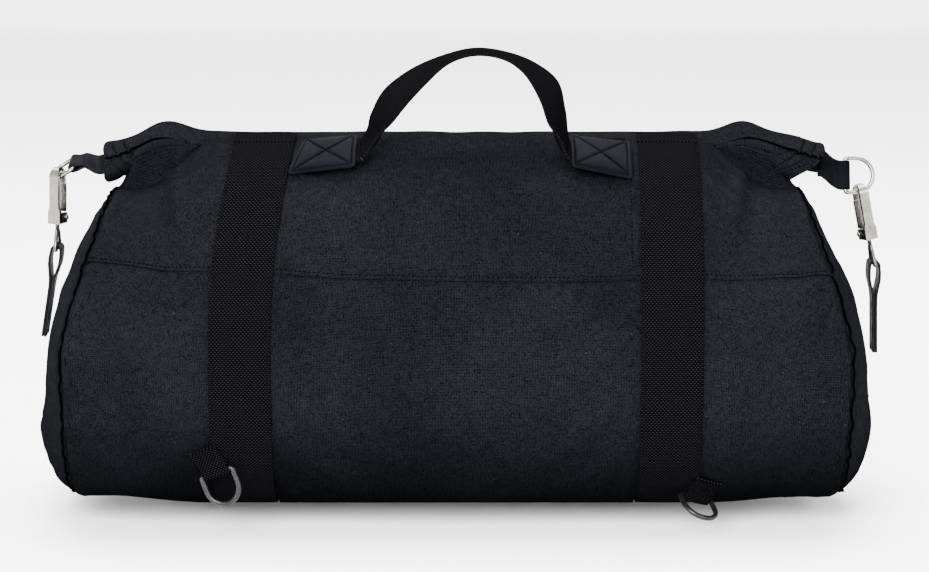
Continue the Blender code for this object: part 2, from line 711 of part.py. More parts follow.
def hook_body(word):
    made = plate(word + "_hook_body", hook_outline(), HOOK_WIDTH, "nickel")
    depth, half = hook_depth(), HOOK_WIDTH / 2
    slot = half - HOOK_LUG
    pin = (pin_place(), PIN_HEIGHT)
    low, high = (pin[0] - GATE_KNUCKLE - 0.0004, -0.001, -slot), (depth + 0.001, HOOK_BASE + 0.001, slot)
    cut = block(word + "_gate_slot", low, high)
    boolean(made, cut, "DIFFERENCE")
    hole = rod(word + "_pin_hole", PIN_RADIUS + GAP / 4, (*pin, -half - 0.001), (*pin, half + 0.001))
    boolean(made, hole, "DIFFERENCE")
    post = post_place()
    hole = rod(word + "_post_hole", POST_RADIUS + GAP, (post, -0.001, 0.0), (post, HOOK_BASE + 0.001, 0.0))
    boolean(made, hole, "DIFFERENCE")
    return made


def hook_gate(word):
    """The gate: a flat bar on a narrow knuckle, which leaves room for the spring beside it."""
    pin = Vector((pin_place(), PIN_HEIGHT))
    outer = hook_depth() - 0.0002
    top = HOOK_HEIGHT - hook_depth() / 2 - NOSE_DROP - GAP
    turn = [math.radians(mix(180, 360, i / 10)) for i in range(11)]
    outline = [(pin.x + GATE_KNUCKLE * math.cos(a), pin.y + GATE_KNUCKLE * math.sin(a)) for a in turn]
    outline = [(min(x, outer), y) for x, y in outline]
    outline += [(outer, pin.y + GATE_KNUCKLE), (outer, top), (outer - GATE_METAL, top),
                (outer - GATE_METAL, pin.y + 1.6 * GATE_KNUCKLE)]
    made = plate(word + "_hook_gate", outline, HOOK_WIDTH - 0.0014, "nickel")
    slot = HOOK_WIDTH / 2 - HOOK_LUG
    step = HOOK_BASE + 0.0006
    wide, far = HOOK_WIDTH, 0.02
    for name, low, high in (("near", -wide, -slot + GAP), ("far", spring_room(), wide)):
        cut = block(f"{word}_gate_{name}_step", (-far, -far, low), (far + outer, step, high))
        boolean(made, cut, "DIFFERENCE")
    boolean(made, rod(word + "_gate_bore", PIN_RADIUS + GAP / 4, (*pin, -0.02), (*pin, 0.02)), "DIFFERENCE")
    return put_origin(made, (*pin, 0.0))


def spring_room():
    """Where across the hook the gate's knuckle stops and the spring begins."""
    return HOOK_WIDTH / 2 - HOOK_LUG - 0.0032


def gate_spring(word):
    """Two and a quarter turns round the pin, with one leg up the gate and one along the base."""
    pin = Vector((pin_place(), PIN_HEIGHT, 0.0))
    radius = PIN_RADIUS + SPRING_WIRE / 2 + GAP
    first = spring_room() + GAP + SPRING_WIRE / 2
    turns, per_turn = 2.25, 12
    count = int(turns * per_turn)
    pitch = SPRING_WIRE + 2 * GAP / 3
    line = []
    for i in range(count + 1):
        angle = 2 * math.pi * i / per_turn
        across = first + pitch * i / per_turn
        line.append(pin + Vector((-radius * math.cos(angle), radius * math.sin(angle), across)))
    line.insert(0, line[0] + Vector((0.0, -0.0022, 0.0)))
    line.append(line[-1] + Vector((-0.0012, 0.0, 0.0)))
    return wire(word + "_gate_spring", line, SPRING_WIRE, "nickel", fineness=2)


def swivel_eye(side, word):
    """The swivel post with its head, and the eye under it for the leather strap."""
    half = HOOK_STRAP_WIDTH / 2 + EYE_WIRE / 2 + 0.0012
    outline = [(0.0, -0.0034), (0.0045, -0.0050), (0.0095, -0.0095), (half - 0.0012, -0.0150),
               (half, EYE_WIRE - EYE_DROP), (half - 0.0006, -EYE_DROP + 0.0008), (half - 0.0018, -EYE_DROP)]
    outline += [(-y, z) for y, z in reversed(outline[1:])]
    line = [Vector((0.0, y, z)) for y, z in outline]
    bent = wire(word + "_eye_line", line, EYE_WIRE, None, cyclic=True, fineness=3)
    loop = as_mesh(bent, word + "_swivel_eye", "nickel")
    post = rod(word + "_post", POST_RADIUS, (0, 0, -0.0046), (0, 0, HOOK_BASE + 2 * GAP + HEAD_HEIGHT / 2))
    head = rod(word + "_post_head", POST_HEAD, (0, 0, HOOK_BASE + GAP), (0, 0, HOOK_BASE + GAP + HEAD_HEIGHT))
    base = Vector(EYE_BAR[side]) + hook_axis(side) * EYE_DROP
    lean = Vector((0, 0, 1)).rotation_difference(hook_axis(side)).to_matrix().to_4x4()
    turn = Matrix.Translation(base) @ lean
    for piece in (loop, post, head):
        piece.matrix_world = turn
    boolean(loop, post, "UNION")
    boolean(loop, head, "UNION")


def snap_hooks():
    for side, word in SIDES:
        frame = bpy.data.objects.new(word + "_hook_frame", None)
        BAG.objects.link(frame)
        frame.matrix_world = hook_frame(side)
        before = set(bpy.data.objects)
        hook_body(word)
        hook_gate(word)
        gate_spring(word)
        half = HOOK_WIDTH / 2
        pin = (pin_place(), PIN_HEIGHT)
        rod(word + "_gate_pin", PIN_RADIUS, (*pin, -half - 0.0006), (*pin, half + 0.0006), "nickel", sides=16)
        for made in set(bpy.data.objects) - before:
            made.parent = frame
        swivel_eye(side, word)


def hook_straps():
    """Leather strips folded through the swivel eyes and sewn to the end panels."""
    for side, word in SIDES:
        tilt = math.radians(HOOK_STRAP_TILT[side])
        down = Vector((side * math.sin(tilt), 0.0, -math.cos(tilt)))
        width = Vector((0.0, 1.0, 0.0))
        bar = Vector(EYE_BAR[side])
        rows = fold_rows(bar, bar + down * HOOK_STRAP_LENGTH, width, width, HOOK_STRAP_WIDTH, TAB_LEATHER,
                         EYE_WIRE / 2 + RUNNING, 0.016)
        sheet(word + "_hook_strap", rows, TAB_LEATHER, "leather")


clear_scene()
BAG = make_collection("rope_bag")
CUTTERS = make_collection("cutters")
barrel_panels()
end_panels()
rolled_mouth()
barrel_straps()
handle()
roll_rings_and_tabs()
low_rings()
snap_hooks()
hook_straps()
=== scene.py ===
"""A black canvas roll-top rope bag: woven skins, straps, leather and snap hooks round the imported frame."""

import bmesh
import bpy
import numpy as np
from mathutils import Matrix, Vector


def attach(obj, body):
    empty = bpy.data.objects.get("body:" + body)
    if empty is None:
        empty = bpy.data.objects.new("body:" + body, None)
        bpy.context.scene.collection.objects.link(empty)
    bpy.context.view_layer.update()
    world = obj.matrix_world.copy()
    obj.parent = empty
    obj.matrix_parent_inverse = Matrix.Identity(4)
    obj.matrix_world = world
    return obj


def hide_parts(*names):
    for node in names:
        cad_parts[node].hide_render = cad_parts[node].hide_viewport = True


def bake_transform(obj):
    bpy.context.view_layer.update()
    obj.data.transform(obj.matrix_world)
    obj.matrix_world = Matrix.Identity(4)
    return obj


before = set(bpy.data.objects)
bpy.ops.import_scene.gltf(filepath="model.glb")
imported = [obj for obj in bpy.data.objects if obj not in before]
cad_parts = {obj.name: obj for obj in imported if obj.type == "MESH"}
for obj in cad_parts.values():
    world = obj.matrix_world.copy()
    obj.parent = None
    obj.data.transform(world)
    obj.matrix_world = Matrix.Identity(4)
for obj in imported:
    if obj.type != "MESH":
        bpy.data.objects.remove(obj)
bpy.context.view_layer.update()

# Sizes the pieces share, in metres and degrees
SEAM_REACH, SEAM_LEAN = 0.3225, 0.034        # middle to the end seams at the belly, and their lean inwards above it
SEAM_LAP = 0.0012                            # how far the skin runs past the end seams
BELLY_HEIGHT, HALF_DEPTH = 0.1435, 0.150
FRONT_RISE, BACK_RISE, BASE_REACH = 0.166, 0.128, 0.1495     # from the belly line up in front, up behind, and down
RIDGE_DROP, BACK_DROP, END_TUCK = 0.046, 0.010, 0.008        # how much less of these its ends have
SECTION_POWER = 2.2                          # 2 is an ellipse, more is squarer
GROOVE = 0.0036                              # how far the base gives way under a strap
CANVAS_WALL, LEATHER_WALL = 0.0016, 0.0020
WEBBING, LOOP_WALL, STRAP_WIDTH = 0.0024, 0.0016, 0.050
STRAP_GAP = 0.0006                           # between a strap and the barrel
STRAP_PLACE = {"left": -0.176, "right": 0.175}
STRAP_SLANT = {"left": 0.017, "right": 0.0}
SIDES = {"left": -1, "right": 1}
ROLL_REACH = {"left": 0.297, "right": 0.309}
ROLL_HALF_DEPTH, ROLL_HALF_HEIGHT = 0.032, 0.018
SEAM_ANGLE, RIDGE_ANGLE, BACK_EDGE = 20.0, 83.5, 91.0


# Numbers

def smoothstep(value, low, high):
    """0 below low, 1 above high, and 3 t squared less 2 t cubed between them."""
    share = np.clip((value - low) / (high - low), 0.0, 1.0)
    return share * share * (3 - 2 * share)


def signed_power(value, power):
    """The value's size raised to a power, with the value's own sign."""
    return np.sign(value) * np.abs(value) ** power


def unit(vectors):
    """Vectors divided by their lengths."""
    return vectors / np.maximum(np.linalg.norm(vectors, axis=-1, keepdims=True), 1e-12)


def bell(value, width):
    """e to the minus square of value over width."""
    return np.exp(-(value / width) ** 2)


def undulation(u, v, waves, low, high, seed):
    """A sum of sine waves in turned directions, each from low to high cycles a metre, scaled to about 1."""
    rng = np.random.default_rng(seed)
    turn, phase = rng.uniform(0, np.pi, waves), rng.uniform(0, 2 * np.pi, waves)
    pitch = rng.uniform(low, high, waves)
    total = np.zeros(np.broadcast(u, v).shape)
    for t, p, f in zip(turn, phase, pitch):
        total += np.sin(2 * np.pi * f * (u * np.cos(t) + v * np.sin(t)) + p)
    return total / np.sqrt(waves)


def curve_through(points, count):
    """count points on the Catmull-Rom curve through the given ones."""
    points = np.asarray(points, float)
    held = np.vstack([points[:1], points, points[-1:]])
    place = np.linspace(0, len(points) - 1, count)
    index = np.minimum(place.astype(int), len(points) - 2)
    t = (place - index)[:, None]
    a, b, c, d = (held[index + i] for i in range(4))
    return 0.5 * (2 * b + (c - a) * t + (2 * a - 5 * b + 4 * c - d) * t ** 2 + (3 * b - a - 3 * c + d) * t ** 3)


def arc_along(points, axis=0):
    """Distance run along an axis of a grid of points."""
    steps = np.linalg.norm(np.diff(points, axis=axis), axis=-1)
    start = np.zeros_like(np.take(steps, [0], axis=axis))
    return np.concatenate([start, np.cumsum(steps, axis=axis)], axis=axis)


# The barrel

def seam_place(angle):
    """The end seam's distance from the middle: its reach less a lean times the sine of the angle above the belly."""
    return SEAM_REACH - SEAM_LEAN * np.maximum(0.0, np.sin(np.radians(angle)))


def strap_middle(word, angle):
    """The strap's place along the bag, drifting by its slant from the belly to the ridge."""
    return STRAP_PLACE[word] + STRAP_SLANT[word] * smoothstep(angle, 0.0, 85.0)


def barrel_plain(x, angle):
    """A superellipse of power 2.2 round each place along the bag: tall in front, low at the back and pressed flat
    below, where it gives way for the straps."""
    across, up = np.cos(np.radians(angle)), np.sin(np.radians(angle))
    out = np.abs(x)
    narrow = smoothstep(out, SEAM_REACH - 0.122, SEAM_REACH)
    lower = smoothstep(out, 0.193, 0.271)
    rise = np.where(across >= 0, FRONT_RISE - RIDGE_DROP * lower, BACK_RISE - BACK_DROP * lower)
    reach = np.where(up < 0, BASE_REACH - END_TUCK * narrow, rise)
    y = -(HALF_DEPTH - END_TUCK * narrow) * signed_power(across, 2 / SECTION_POWER)
    z = np.maximum(BELLY_HEIGHT + reach * signed_power(up, 2 / SECTION_POWER), 0.0)
    near = np.minimum(np.abs(x - STRAP_PLACE["left"]), np.abs(x - STRAP_PLACE["right"]))
    z = z + GROOVE * smoothstep(-up, 0.84, 0.935) * (1 - smoothstep(near, 0.0254, 0.0270))
    return np.stack(np.broadcast_arrays(x, y, z), axis=-1)


def barrel_out(x, angle):
    """The outward way in the barrel's section: the step round it, turned a quarter."""
    side = barrel_plain(x, angle + 1.0) - barrel_plain(x, angle - 1.0)
    return unit(np.stack([np.zeros_like(side[..., 0]), -side[..., 2], side[..., 1]], axis=-1))


def barrel_point(x, angle, lift=0.0):
    """The barrel's point, moved outwards by lift."""
    x, angle = np.broadcast_arrays(np.asarray(x, float), np.asarray(angle, float))
    return barrel_plain(x, angle) + barrel_out(x, angle) * np.asarray(lift)[..., None]


def roll_middle(x):
    """The roll's middle: a bell-shaped rise beside each strap, and a smooth drop at each end."""
    out = np.abs(x)
    reach = np.where(x > 0, ROLL_REACH["right"], ROLL_REACH["left"])
    y = 0.0145 + (0.006 - 0.0145) * smoothstep(out, 0.20, reach)
    z = 0.2907 + 0.009 * bell(out - 0.245, 0.024) - 0.008 * smoothstep(out, reach - 0.045, reach)
    return np.stack([x, y, z], axis=-1)


# Meshes

def add_mesh(name, points, faces, materials, uv=None):
    """A mesh object from an array of points and a list of face arrays; uv holds one pair for each point."""
    mesh = bpy.data.meshes.new(name)
    mesh.from_pydata(points.reshape(-1, 3), [], faces.tolist() if hasattr(faces, "tolist") else faces)
    if uv is not None:
        corner = np.zeros(len(mesh.loops), np.int32)
        mesh.loops.foreach_get("vertex_index", corner)
        mesh.uv_layers.new(name="weave").data.foreach_set("uv", uv.reshape(-1, 2)[corner].astype(np.float32).ravel())
    made = bpy.data.objects.new(name, mesh)
    bpy.context.scene.collection.objects.link(made)
    for material in materials:
        mesh.materials.append(material)
    mesh.polygons.foreach_set("use_smooth", np.full(len(mesh.polygons), True))
    mesh.update()
    return made


def grid_faces(rows, columns, wrap=False):
    """Quads between neighbouring grid points, closed round the columns where wrap is true."""
    r, c = np.meshgrid(np.arange(rows - 1), np.arange(columns if wrap else columns - 1), indexing="ij")
    right = (c + 1) % columns
    quads = [r * columns + c, r * columns + right, (r + 1) * columns + right, (r + 1) * columns + c]
    return np.stack(quads, axis=-1).reshape(-1, 4)


def metric_uv(points):
    """Distance down the rows and across the columns of a grid, as a pair for each point."""
    return np.stack([arc_along(points, 1) + 0 * points[..., 0], arc_along(points, 0)], axis=-1)


def add_sheet(name, points, thickness, materials, offset=-1.0, uv=None, bevel=0.0, flip=False):
    """A grid of points given a wall: offset -1 puts the wall behind its faces, 0 round them. Flip turns the faces."""
    faces = grid_faces(*points.shape[:2])
    if flip:
        faces = faces[:, ::-1]
    made = add_mesh(name, points, faces, materials, metric_uv(points) if uv is None else uv)
    wall = made.modifiers.new("wall", "SOLIDIFY")
    wall.thickness, wall.offset = thickness, offset
    wall.use_quality_normals = True
    if len(materials) > 1:
        wall.material_offset_rim = 1
    if bevel:
        round_edges(made, bevel)
    bake_modifiers(made)
    return made


def round_edges(made, width, segments=2, angle=40):
    """Bevels the edges that are sharper than an angle in degrees."""
    edge = made.modifiers.new("round", "BEVEL")
    edge.width, edge.segments, edge.limit_method = width, segments, "ANGLE"
    edge.angle_limit = np.radians(angle)
    edge.harden_normals = False


def bake_modifiers(made):
    """Replaces a piece's mesh with what its modifiers make of it."""
    graph = bpy.context.evaluated_depsgraph_get()
    mesh = bpy.data.meshes.new_from_object(made.evaluated_get(graph), depsgraph=graph)
    old = made.data
    made.modifiers.clear()
    made.data = mesh
    mesh.name = made.name
    bpy.data.meshes.remove(old)
    return made


def tube(name, line, radius, material, sides=14, body="bag", replaces=()):
    """A circle carried round a closed line. Its frame starts level and is turned as little as it can be at each
    point, and the drift that is left at the end is shared out along the line."""
    line = np.asarray(line, float)
    tangent = unit(np.roll(line, -1, 0) - np.roll(line, 1, 0))
    normal = np.zeros_like(line)
    start = np.cross(tangent[0], (0.0, 0.0, 1.0))
    start = start if np.linalg.norm(start) > 1e-3 else np.array((1.0, 0.0, 0.0))
    normal[0] = unit(start)
    for i in range(1, len(line)):
        normal[i] = unit(normal[i - 1] - tangent[i] * normal[i - 1].dot(tangent[i]))
    side = np.cross(tangent, normal)
    drift = np.arctan2(normal[0].dot(side[-1]), normal[0].dot(normal[-1]))
    angle = (2 * np.pi * np.arange(sides) / sides)[None] + np.linspace(0, 1, len(line))[:, None] * drift
    circle = normal[:, None] * np.cos(angle)[..., None] + side[:, None] * np.sin(angle)[..., None]
    faces = grid_faces(len(line) + 1, sides, wrap=True) % (len(line) * sides)
    made = add_mesh(name, line[:, None] + radius * circle, faces, [material])
    face_out(made)
    return place(made, body, replaces)


def face_out(made):
    """Turns a closed mesh's faces outwards."""
    work = bmesh.new()
    work.from_mesh(made.data)
    bmesh.ops.recalc_face_normals(work, faces=work.faces)
    work.to_mesh(made.data)
    work.free()


def turned(name, middle, axis, profile, material, body, sides=28):
    """A profile of (radius, height) pairs turned about an axis; it starts and ends on the axis."""
    axis = unit(np.asarray(axis, float))
    first = unit(np.cross(axis, (0.3, 0.5, 0.9)))
    second = np.cross(axis, first)
    angle = 2 * np.pi * np.arange(sides) / sides
    around = first[None] * np.cos(angle)[:, None] + second[None] * np.sin(angle)[:, None]
    profile = np.asarray(profile, float)
    heights = (profile[1:-1, 1][:, None] * axis)[:, None]
    rings = np.asarray(middle) + profile[1:-1, 0][:, None, None] * around[None] + heights
    ends = np.asarray(middle) + profile[[0, -1], 1][:, None] * axis
    count = len(profile) - 2
    faces = grid_faces(count, sides, wrap=True).tolist()
    low, high = count * sides, count * sides + 1
    faces += [[low, (i + 1) % sides, i] for i in range(sides)]
    top = (count - 1) * sides
    faces += [[high, top + i, top + (i + 1) % sides] for i in range(sides)]
    made = add_mesh(name, np.vstack([rings.reshape(-1, 3), ends]), faces, [material])
    face_out(made)
    return place(made, body)


def softened(node, width, material, body, segments=2, shape=None):
    """A copy of a hardware node, reshaped if a shape is given, with its edges rounded."""
    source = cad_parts[node]
    work = bmesh.new()
    work.from_mesh(source.data)
    bmesh.ops.remove_doubles(work, verts=work.verts, dist=1e-5)
    bmesh.ops.dissolve_limit(work, angle_limit=np.radians(1.0), verts=work.verts, edges=work.edges)
    if shape is not None:
        shape(work)
    mesh = bpy.data.meshes.new(node + "_finished")
    work.to_mesh(mesh)
    work.free()
    mesh.materials.clear()
    mesh.materials.append(material)
    made = bpy.data.objects.new(node + "_finished", mesh)
    bpy.context.scene.collection.objects.link(made)
    mesh.shade_smooth()
    round_edges(made, width, segments, 28)
    bake_modifiers(made)
    made.data.shade_smooth()
    weighted = made.modifiers.new("flats", "WEIGHTED_NORMAL")
    weighted.keep_sharp = False
    return place(made, body, [node])


def place(made, body, replaces=()):
    """Rides a piece on its body and hides the nodes it stands for."""
    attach(made, body)
    if replaces:
        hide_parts(*replaces)
    return made


def stitches(name, path, outs, material, pitch=0.0033, length=0.0024, radius=0.00042, sink=0.00012, body="bag"):
    """Short bent threads along a path: a six-sided spindle at each pitch, its ends sunk in the cloth."""
    path, outs = np.asarray(path, float), np.asarray(outs, float)
    run = arc_along(path)
    count = max(2, int(run[-1] / pitch))
    places = (np.arange(count) + 0.5) * run[-1] / count
    middle = np.stack([np.interp(places, run, path[:, i]) for i in range(3)], -1)
    out = unit(np.stack([np.interp(places, run, outs[:, i]) for i in range(3)], -1))
    way = np.stack([np.interp(places + 0.0004, run, path[:, i]) - np.interp(places - 0.0004, run, path[:, i])
                    for i in range(3)], -1)
    way = unit(way - out * (way * out).sum(-1, keepdims=True))
    side = np.cross(way, out)
    along = np.array([-0.5, -0.36, 0.0, 0.36, 0.5]) * length
    thick = np.array([0.25, 0.8, 1.0, 0.8, 0.25]) * radius
    rise = np.array([-1.2, -0.3, 0.0, -0.3, -1.2]) * radius - sink
    turn = 2 * np.pi * np.arange(6) / 6
    points = (middle[:, None, None] + way[:, None, None] * along[None, :, None, None]
              + side[:, None, None] * (thick[:, None] * np.cos(turn))[None, ..., None]
              + out[:, None, None] * (thick[:, None] * np.sin(turn) + rise[:, None])[None, ..., None])
    ring = grid_faces(5, 6, wrap=True)
    faces = (ring[None] + (np.arange(count) * 30)[:, None, None]).reshape(-1, 4).tolist()
    caps = np.array([[5, 4, 3, 2, 1, 0], [24, 25, 26, 27, 28, 29]])
    faces += (caps[None] + (np.arange(count) * 30)[:, None, None]).reshape(-1, 6).tolist()
    return place(add_mesh(name, points, faces, [material]), body)


# Shader maths

class Wire:
    """A shader socket that adds, subtracts, multiplies, takes powers and compares as numbers do."""

    def __init__(self, nodes, socket):
        self.nodes, self.socket = nodes, socket

    def _maths(self, kind, first, second=None):
        """One Math node of a kind on one or two values."""
        values = {0: first} if second is None else {0: first, 1: second}
        return self.nodes.add("ShaderNodeMath", {"operation": kind}, values)

    def __add__(self, other):
        return self._maths("ADD", self, other)

    __radd__ = __add__

    def __mul__(self, other):
        return self._maths("MULTIPLY", self, other)

    __rmul__ = __mul__

    def __sub__(self, other):
        return self._maths("SUBTRACT", self, other)

    def __rsub__(self, other):
        return self._maths("SUBTRACT", other, self)

    def __pow__(self, other):
        return self._maths("POWER", self, other)

    def __gt__(self, other):
        return self._maths("GREATER_THAN", self, other)

    def call(self, kind):
        """A one-value operation, such as SINE, by its name."""
        return self._maths(kind, self)


class Finish:
    """A material and its nodes."""

    def __init__(self, name):
        self.material = bpy.data.materials.new(name)
        self.material.use_nodes = True
        self.tree = self.material.node_tree
        self.shader = self.tree.nodes["Principled BSDF"]

    def add(self, kind, settings=None, values=None, out=0):
        """Adds a node of a type, with its settings and then the values or links of its sockets."""
        node = self.tree.nodes.new(kind)
        for key, value in (settings or {}).items():
            setattr(node, key, value)
        for key, value in (values or {}).items():
            self.feed(node.inputs[key], value)
        return Wire(self, node.outputs[out])

    def feed(self, socket, value):
        """Links a wire to a socket, or sets the socket to a constant."""
        if isinstance(value, Wire):
            self.tree.links.new(value.socket, socket)
        else:
            socket.default_value = value

    def set(self, **sockets):
        """Feeds the shader's sockets by their names, an underscore for each space."""
        for name, value in sockets.items():
            self.feed(self.shader.inputs[name.replace("_", " ")], value)

    def place(self):
        """The point's own place on the object, in metres."""
        return self.add("ShaderNodeTexCoord", out=3)

    def uv(self):
        """The weave's own two coordinates, in metres."""
        weave = self.add("ShaderNodeUVMap", {"uv_map": "weave"})
        split = self.add("ShaderNodeSeparateXYZ", None, {0: weave})
        return split, Wire(self, split.socket.node.outputs[1])

    def noise(self, scale, detail=3.0, roughness=0.6, at=None):
        """Noise from 0 to 1, with its scale in cells a metre."""
        values = {"Vector": at or self.place(), "Scale": scale, "Detail": detail, "Roughness": roughness}
        return self.add("ShaderNodeTexNoise", {"normalize": True}, values)

    def ramp(self, value, low, high, first=0.0, last=1.0):
        """A smooth step from first to last as a value goes from low to high."""
        return self.add("ShaderNodeMapRange", {"interpolation_type": "SMOOTHSTEP"},
                        {"Value": value, "From Min": low, "From Max": high, "To Min": first, "To Max": last})

    def blend(self, share, first, second):
        """A mix of two colours by a share."""
        node = self.tree.nodes.new("ShaderNodeMix")
        node.data_type = "RGBA"
        for index, value in ((0, share), (6, first), (7, second)):
            self.feed(node.inputs[index], (*value, 1.0) if isinstance(value, tuple) and len(value) == 3 else value)
        return Wire(self, node.outputs[2])

    def bump(self, height, distance, strength=1.0):
        """A normal tipped by a height, whose full range stands for a distance in metres."""
        return self.add("ShaderNodeBump", None, {"Height": height, "Distance": distance, "Strength": strength})


def woven(u, v, pitch, raised=0.55):
    warp_wave, weft_wave = (u * (np.pi / pitch)).call("SINE"), (v * (np.pi / pitch)).call("SINE")
    warp, weft = warp_wave.call("ABSOLUTE"), weft_wave.call("ABSOLUTE")
    check = warp_wave * weft_wave > 0.0
    return check * warp ** raised * weft ** 0.3 + (1 - check) * weft ** raised * warp ** 0.3


def canvas_finish(name, share):
    """Black cotton canvas: a fine plain weave with painted shade in its gaps, slubs, a rubbed nap and specks of lint,
    and a painted shade that darkens the black towards the floor. Its paler colour is multiplied by a share."""
    f = Finish(name)
    u, v = f.uv()
    weave = woven(u, v, 0.00125)
    slub = f.noise(640.0, 3.0, 0.8)
    nap = f.noise(170.0, 3.0, 0.7)
    cloud = f.noise(7.0, 3.0, 0.55)
    lint = f.ramp(f.noise(330.0, 1.0, 0.5), 0.765, 0.80)
    height = f.add("ShaderNodeSeparateXYZ", None, {0: f.place()}, out=2)
    # Painted shade in the gaps of the weave, mixed with the real tone of slubs and nap.
    shade = weave * 0.30 + slub * 0.95 + nap * 0.25
    # Random cloudy colour of the cloth, times a painted shade that darkens the canvas towards the floor.
    cloud_tone_and_painted_floor_shade = f.ramp(cloud, 0.35, 0.7, 0.78, 1.12) * f.ramp(height, 0.015, 0.115, 0.52, 1.0)
    pale = tuple(c * share for c in (0.0058, 0.0060, 0.0071))
    base = f.blend(f.ramp(shade, 0.52, 0.98) * cloud_tone_and_painted_floor_shade, (0.00005, 0.00005, 0.00006), pale)
    base = f.blend(lint * 0.30, base, (0.028, 0.028, 0.031))
    relief = weave * 0.6 + slub * 0.9 + nap * 0.5
    f.set(Base_Color=base, Roughness=f.ramp(slub, 0.3, 0.7, 0.80, 0.95), Normal=f.bump(relief, 0.0007, 1.0))
    f.set(Specular_IOR_Level=0.0)
    return f.material


def webbing_finish(name, pitch, dark, light):
    """Heavy cotton webbing: rows of raised pips, each row set half a pip along from the last. Its colour is darker
    between the pips: painted shade.
    """
    f = Finish(name)
    u, v = f.uv()
    rows = v * (1.0 / (pitch * 0.56))
    shift = (rows.call("FLOOR") * 0.5).call("FRACT")
    across = ((u * (1.0 / pitch) + shift).call("FRACT") - 0.5) * 2.0
    along = (rows.call("FRACT") - 0.5) * 2.0
    pip = f.ramp((across * across * 1.15 + along * along * 0.85).call("SQRT"), 0.20, 1.0, 1.0, 0.0)
    thread = ((v * (2 * np.pi / 0.0006)).call("SINE") * 0.5 + 0.5) * 0.22
    fuzz = f.noise(900.0, 2.0, 0.6)
    # Painted shade between the raised pips, mixed with the real tone of the fuzz.
    tone = pip * 0.75 + fuzz * 0.4
    f.set(Base_Color=f.blend(f.ramp(tone, 0.1, 1.0), dark, light), Roughness=f.ramp(fuzz, 0.3, 0.7, 0.80, 0.93))
    f.set(Normal=f.bump(pip + thread * pip + fuzz * 0.18, 0.0012, 1.0))
    f.set(Specular_IOR_Level=0.0)
    return f.material


def leather_finish(name, colour, edge=False):
    """Satin leather: pebbled grain and fine creases over a cloudy colour. A cut edge is rougher and has no pebbles."""
    f = Finish(name)
    crease = f.noise(160.0, 5.0, 0.62)
    cloud = f.noise(40.0, 2.0, 0.5)
    pale = tuple(c * (1.5 if not edge else 1.25) for c in colour)
    deep = tuple(c * 0.7 for c in colour)
    f.set(Base_Color=f.blend(f.ramp(cloud * 0.6 + crease * 0.4, 0.35, 0.65), deep, pale))
    if edge:
        f.set(Roughness=f.ramp(crease, 0.3, 0.7, 0.5, 0.7), Specular_IOR_Level=0.01)
        f.set(Normal=f.bump(crease, 0.0003, 0.7))
    else:
        pebbles = {"Vector": f.place(), "Scale": 850.0, "Smoothness": 0.6}
        grain = f.add("ShaderNodeTexVoronoi", {"feature": "SMOOTH_F1"}, pebbles)
        f.set(Roughness=f.ramp(crease, 0.3, 0.7, 0.40, 0.56), Specular_IOR_Level=0.006)
        f.set(Normal=f.bump(grain * 0.7 + crease * 0.5, 0.00022, 0.55))
    return f.material


def nickel_finish(name, colour, low, high):
    """Brushed plate: fine lines, faint blotches and small nicks."""
    f = Finish(name)
    drawn_out = f.add("ShaderNodeMapping", None, {"Vector": f.place(), "Scale": (2400.0, 2400.0, 160.0)})
    lines = f.noise(1.0, 2.0, 0.6, drawn_out)
    blotch = f.noise(130.0, 4.0, 0.6)
    nick = f.ramp(f.noise(520.0, 2.0, 0.5), 0.66, 0.72)
    shade = tuple(c * 0.72 for c in colour)
    f.set(Base_Color=f.blend(f.ramp(blotch * 0.7 + lines * 0.3, 0.3, 0.7), shade, colour), Metallic=1.0)
    f.set(Roughness=f.ramp(lines * 0.6 + blotch * 0.4, 0.3, 0.7, low, high))
    f.set(Normal=f.bump(lines * 0.5 - nick * 0.6, 0.00006, 0.7))
    return f.material


def black_steel_finish():
    """Black enamel on steel, rubbed to a soft shine on its high spots."""
    f = Finish("black_enamel")
    wear = f.noise(240.0, 4.0, 0.65)
    f.set(Base_Color=f.blend(f.ramp(wear, 0.45, 0.75), (0.002, 0.002, 0.0025), (0.008, 0.008, 0.009)))
    f.set(Roughness=f.ramp(wear, 0.3, 0.7, 0.25, 0.42), Specular_IOR_Level=0.22)
    f.set(Normal=f.bump(wear, 0.00008, 0.5))
    return f.material


def thread_finish(name, dark, light):
    """Waxed thread with a fine twist."""
    f = Finish(name)
    twist = f.noise(2600.0, 1.0, 0.5)
    f.set(Base_Color=f.blend(twist, dark, light), Roughness=0.6, Specular_IOR_Level=0.0)
    f.set(Normal=f.bump(twist, 0.0001, 0.6))
    return f.material


def batten_finish():
    """Matt black strip with faint scuffs."""
    f = Finish("batten_strip")
    scuff = f.noise(300.0, 3.0, 0.6)
    f.set(Base_Color=f.blend(scuff, (0.02, 0.02, 0.02), (0.05, 0.05, 0.05)))
    f.set(Roughness=f.ramp(scuff, 0.3, 0.7, 0.5, 0.8))
    return f.material


CANVAS = canvas_finish("black_canvas", 1.0)
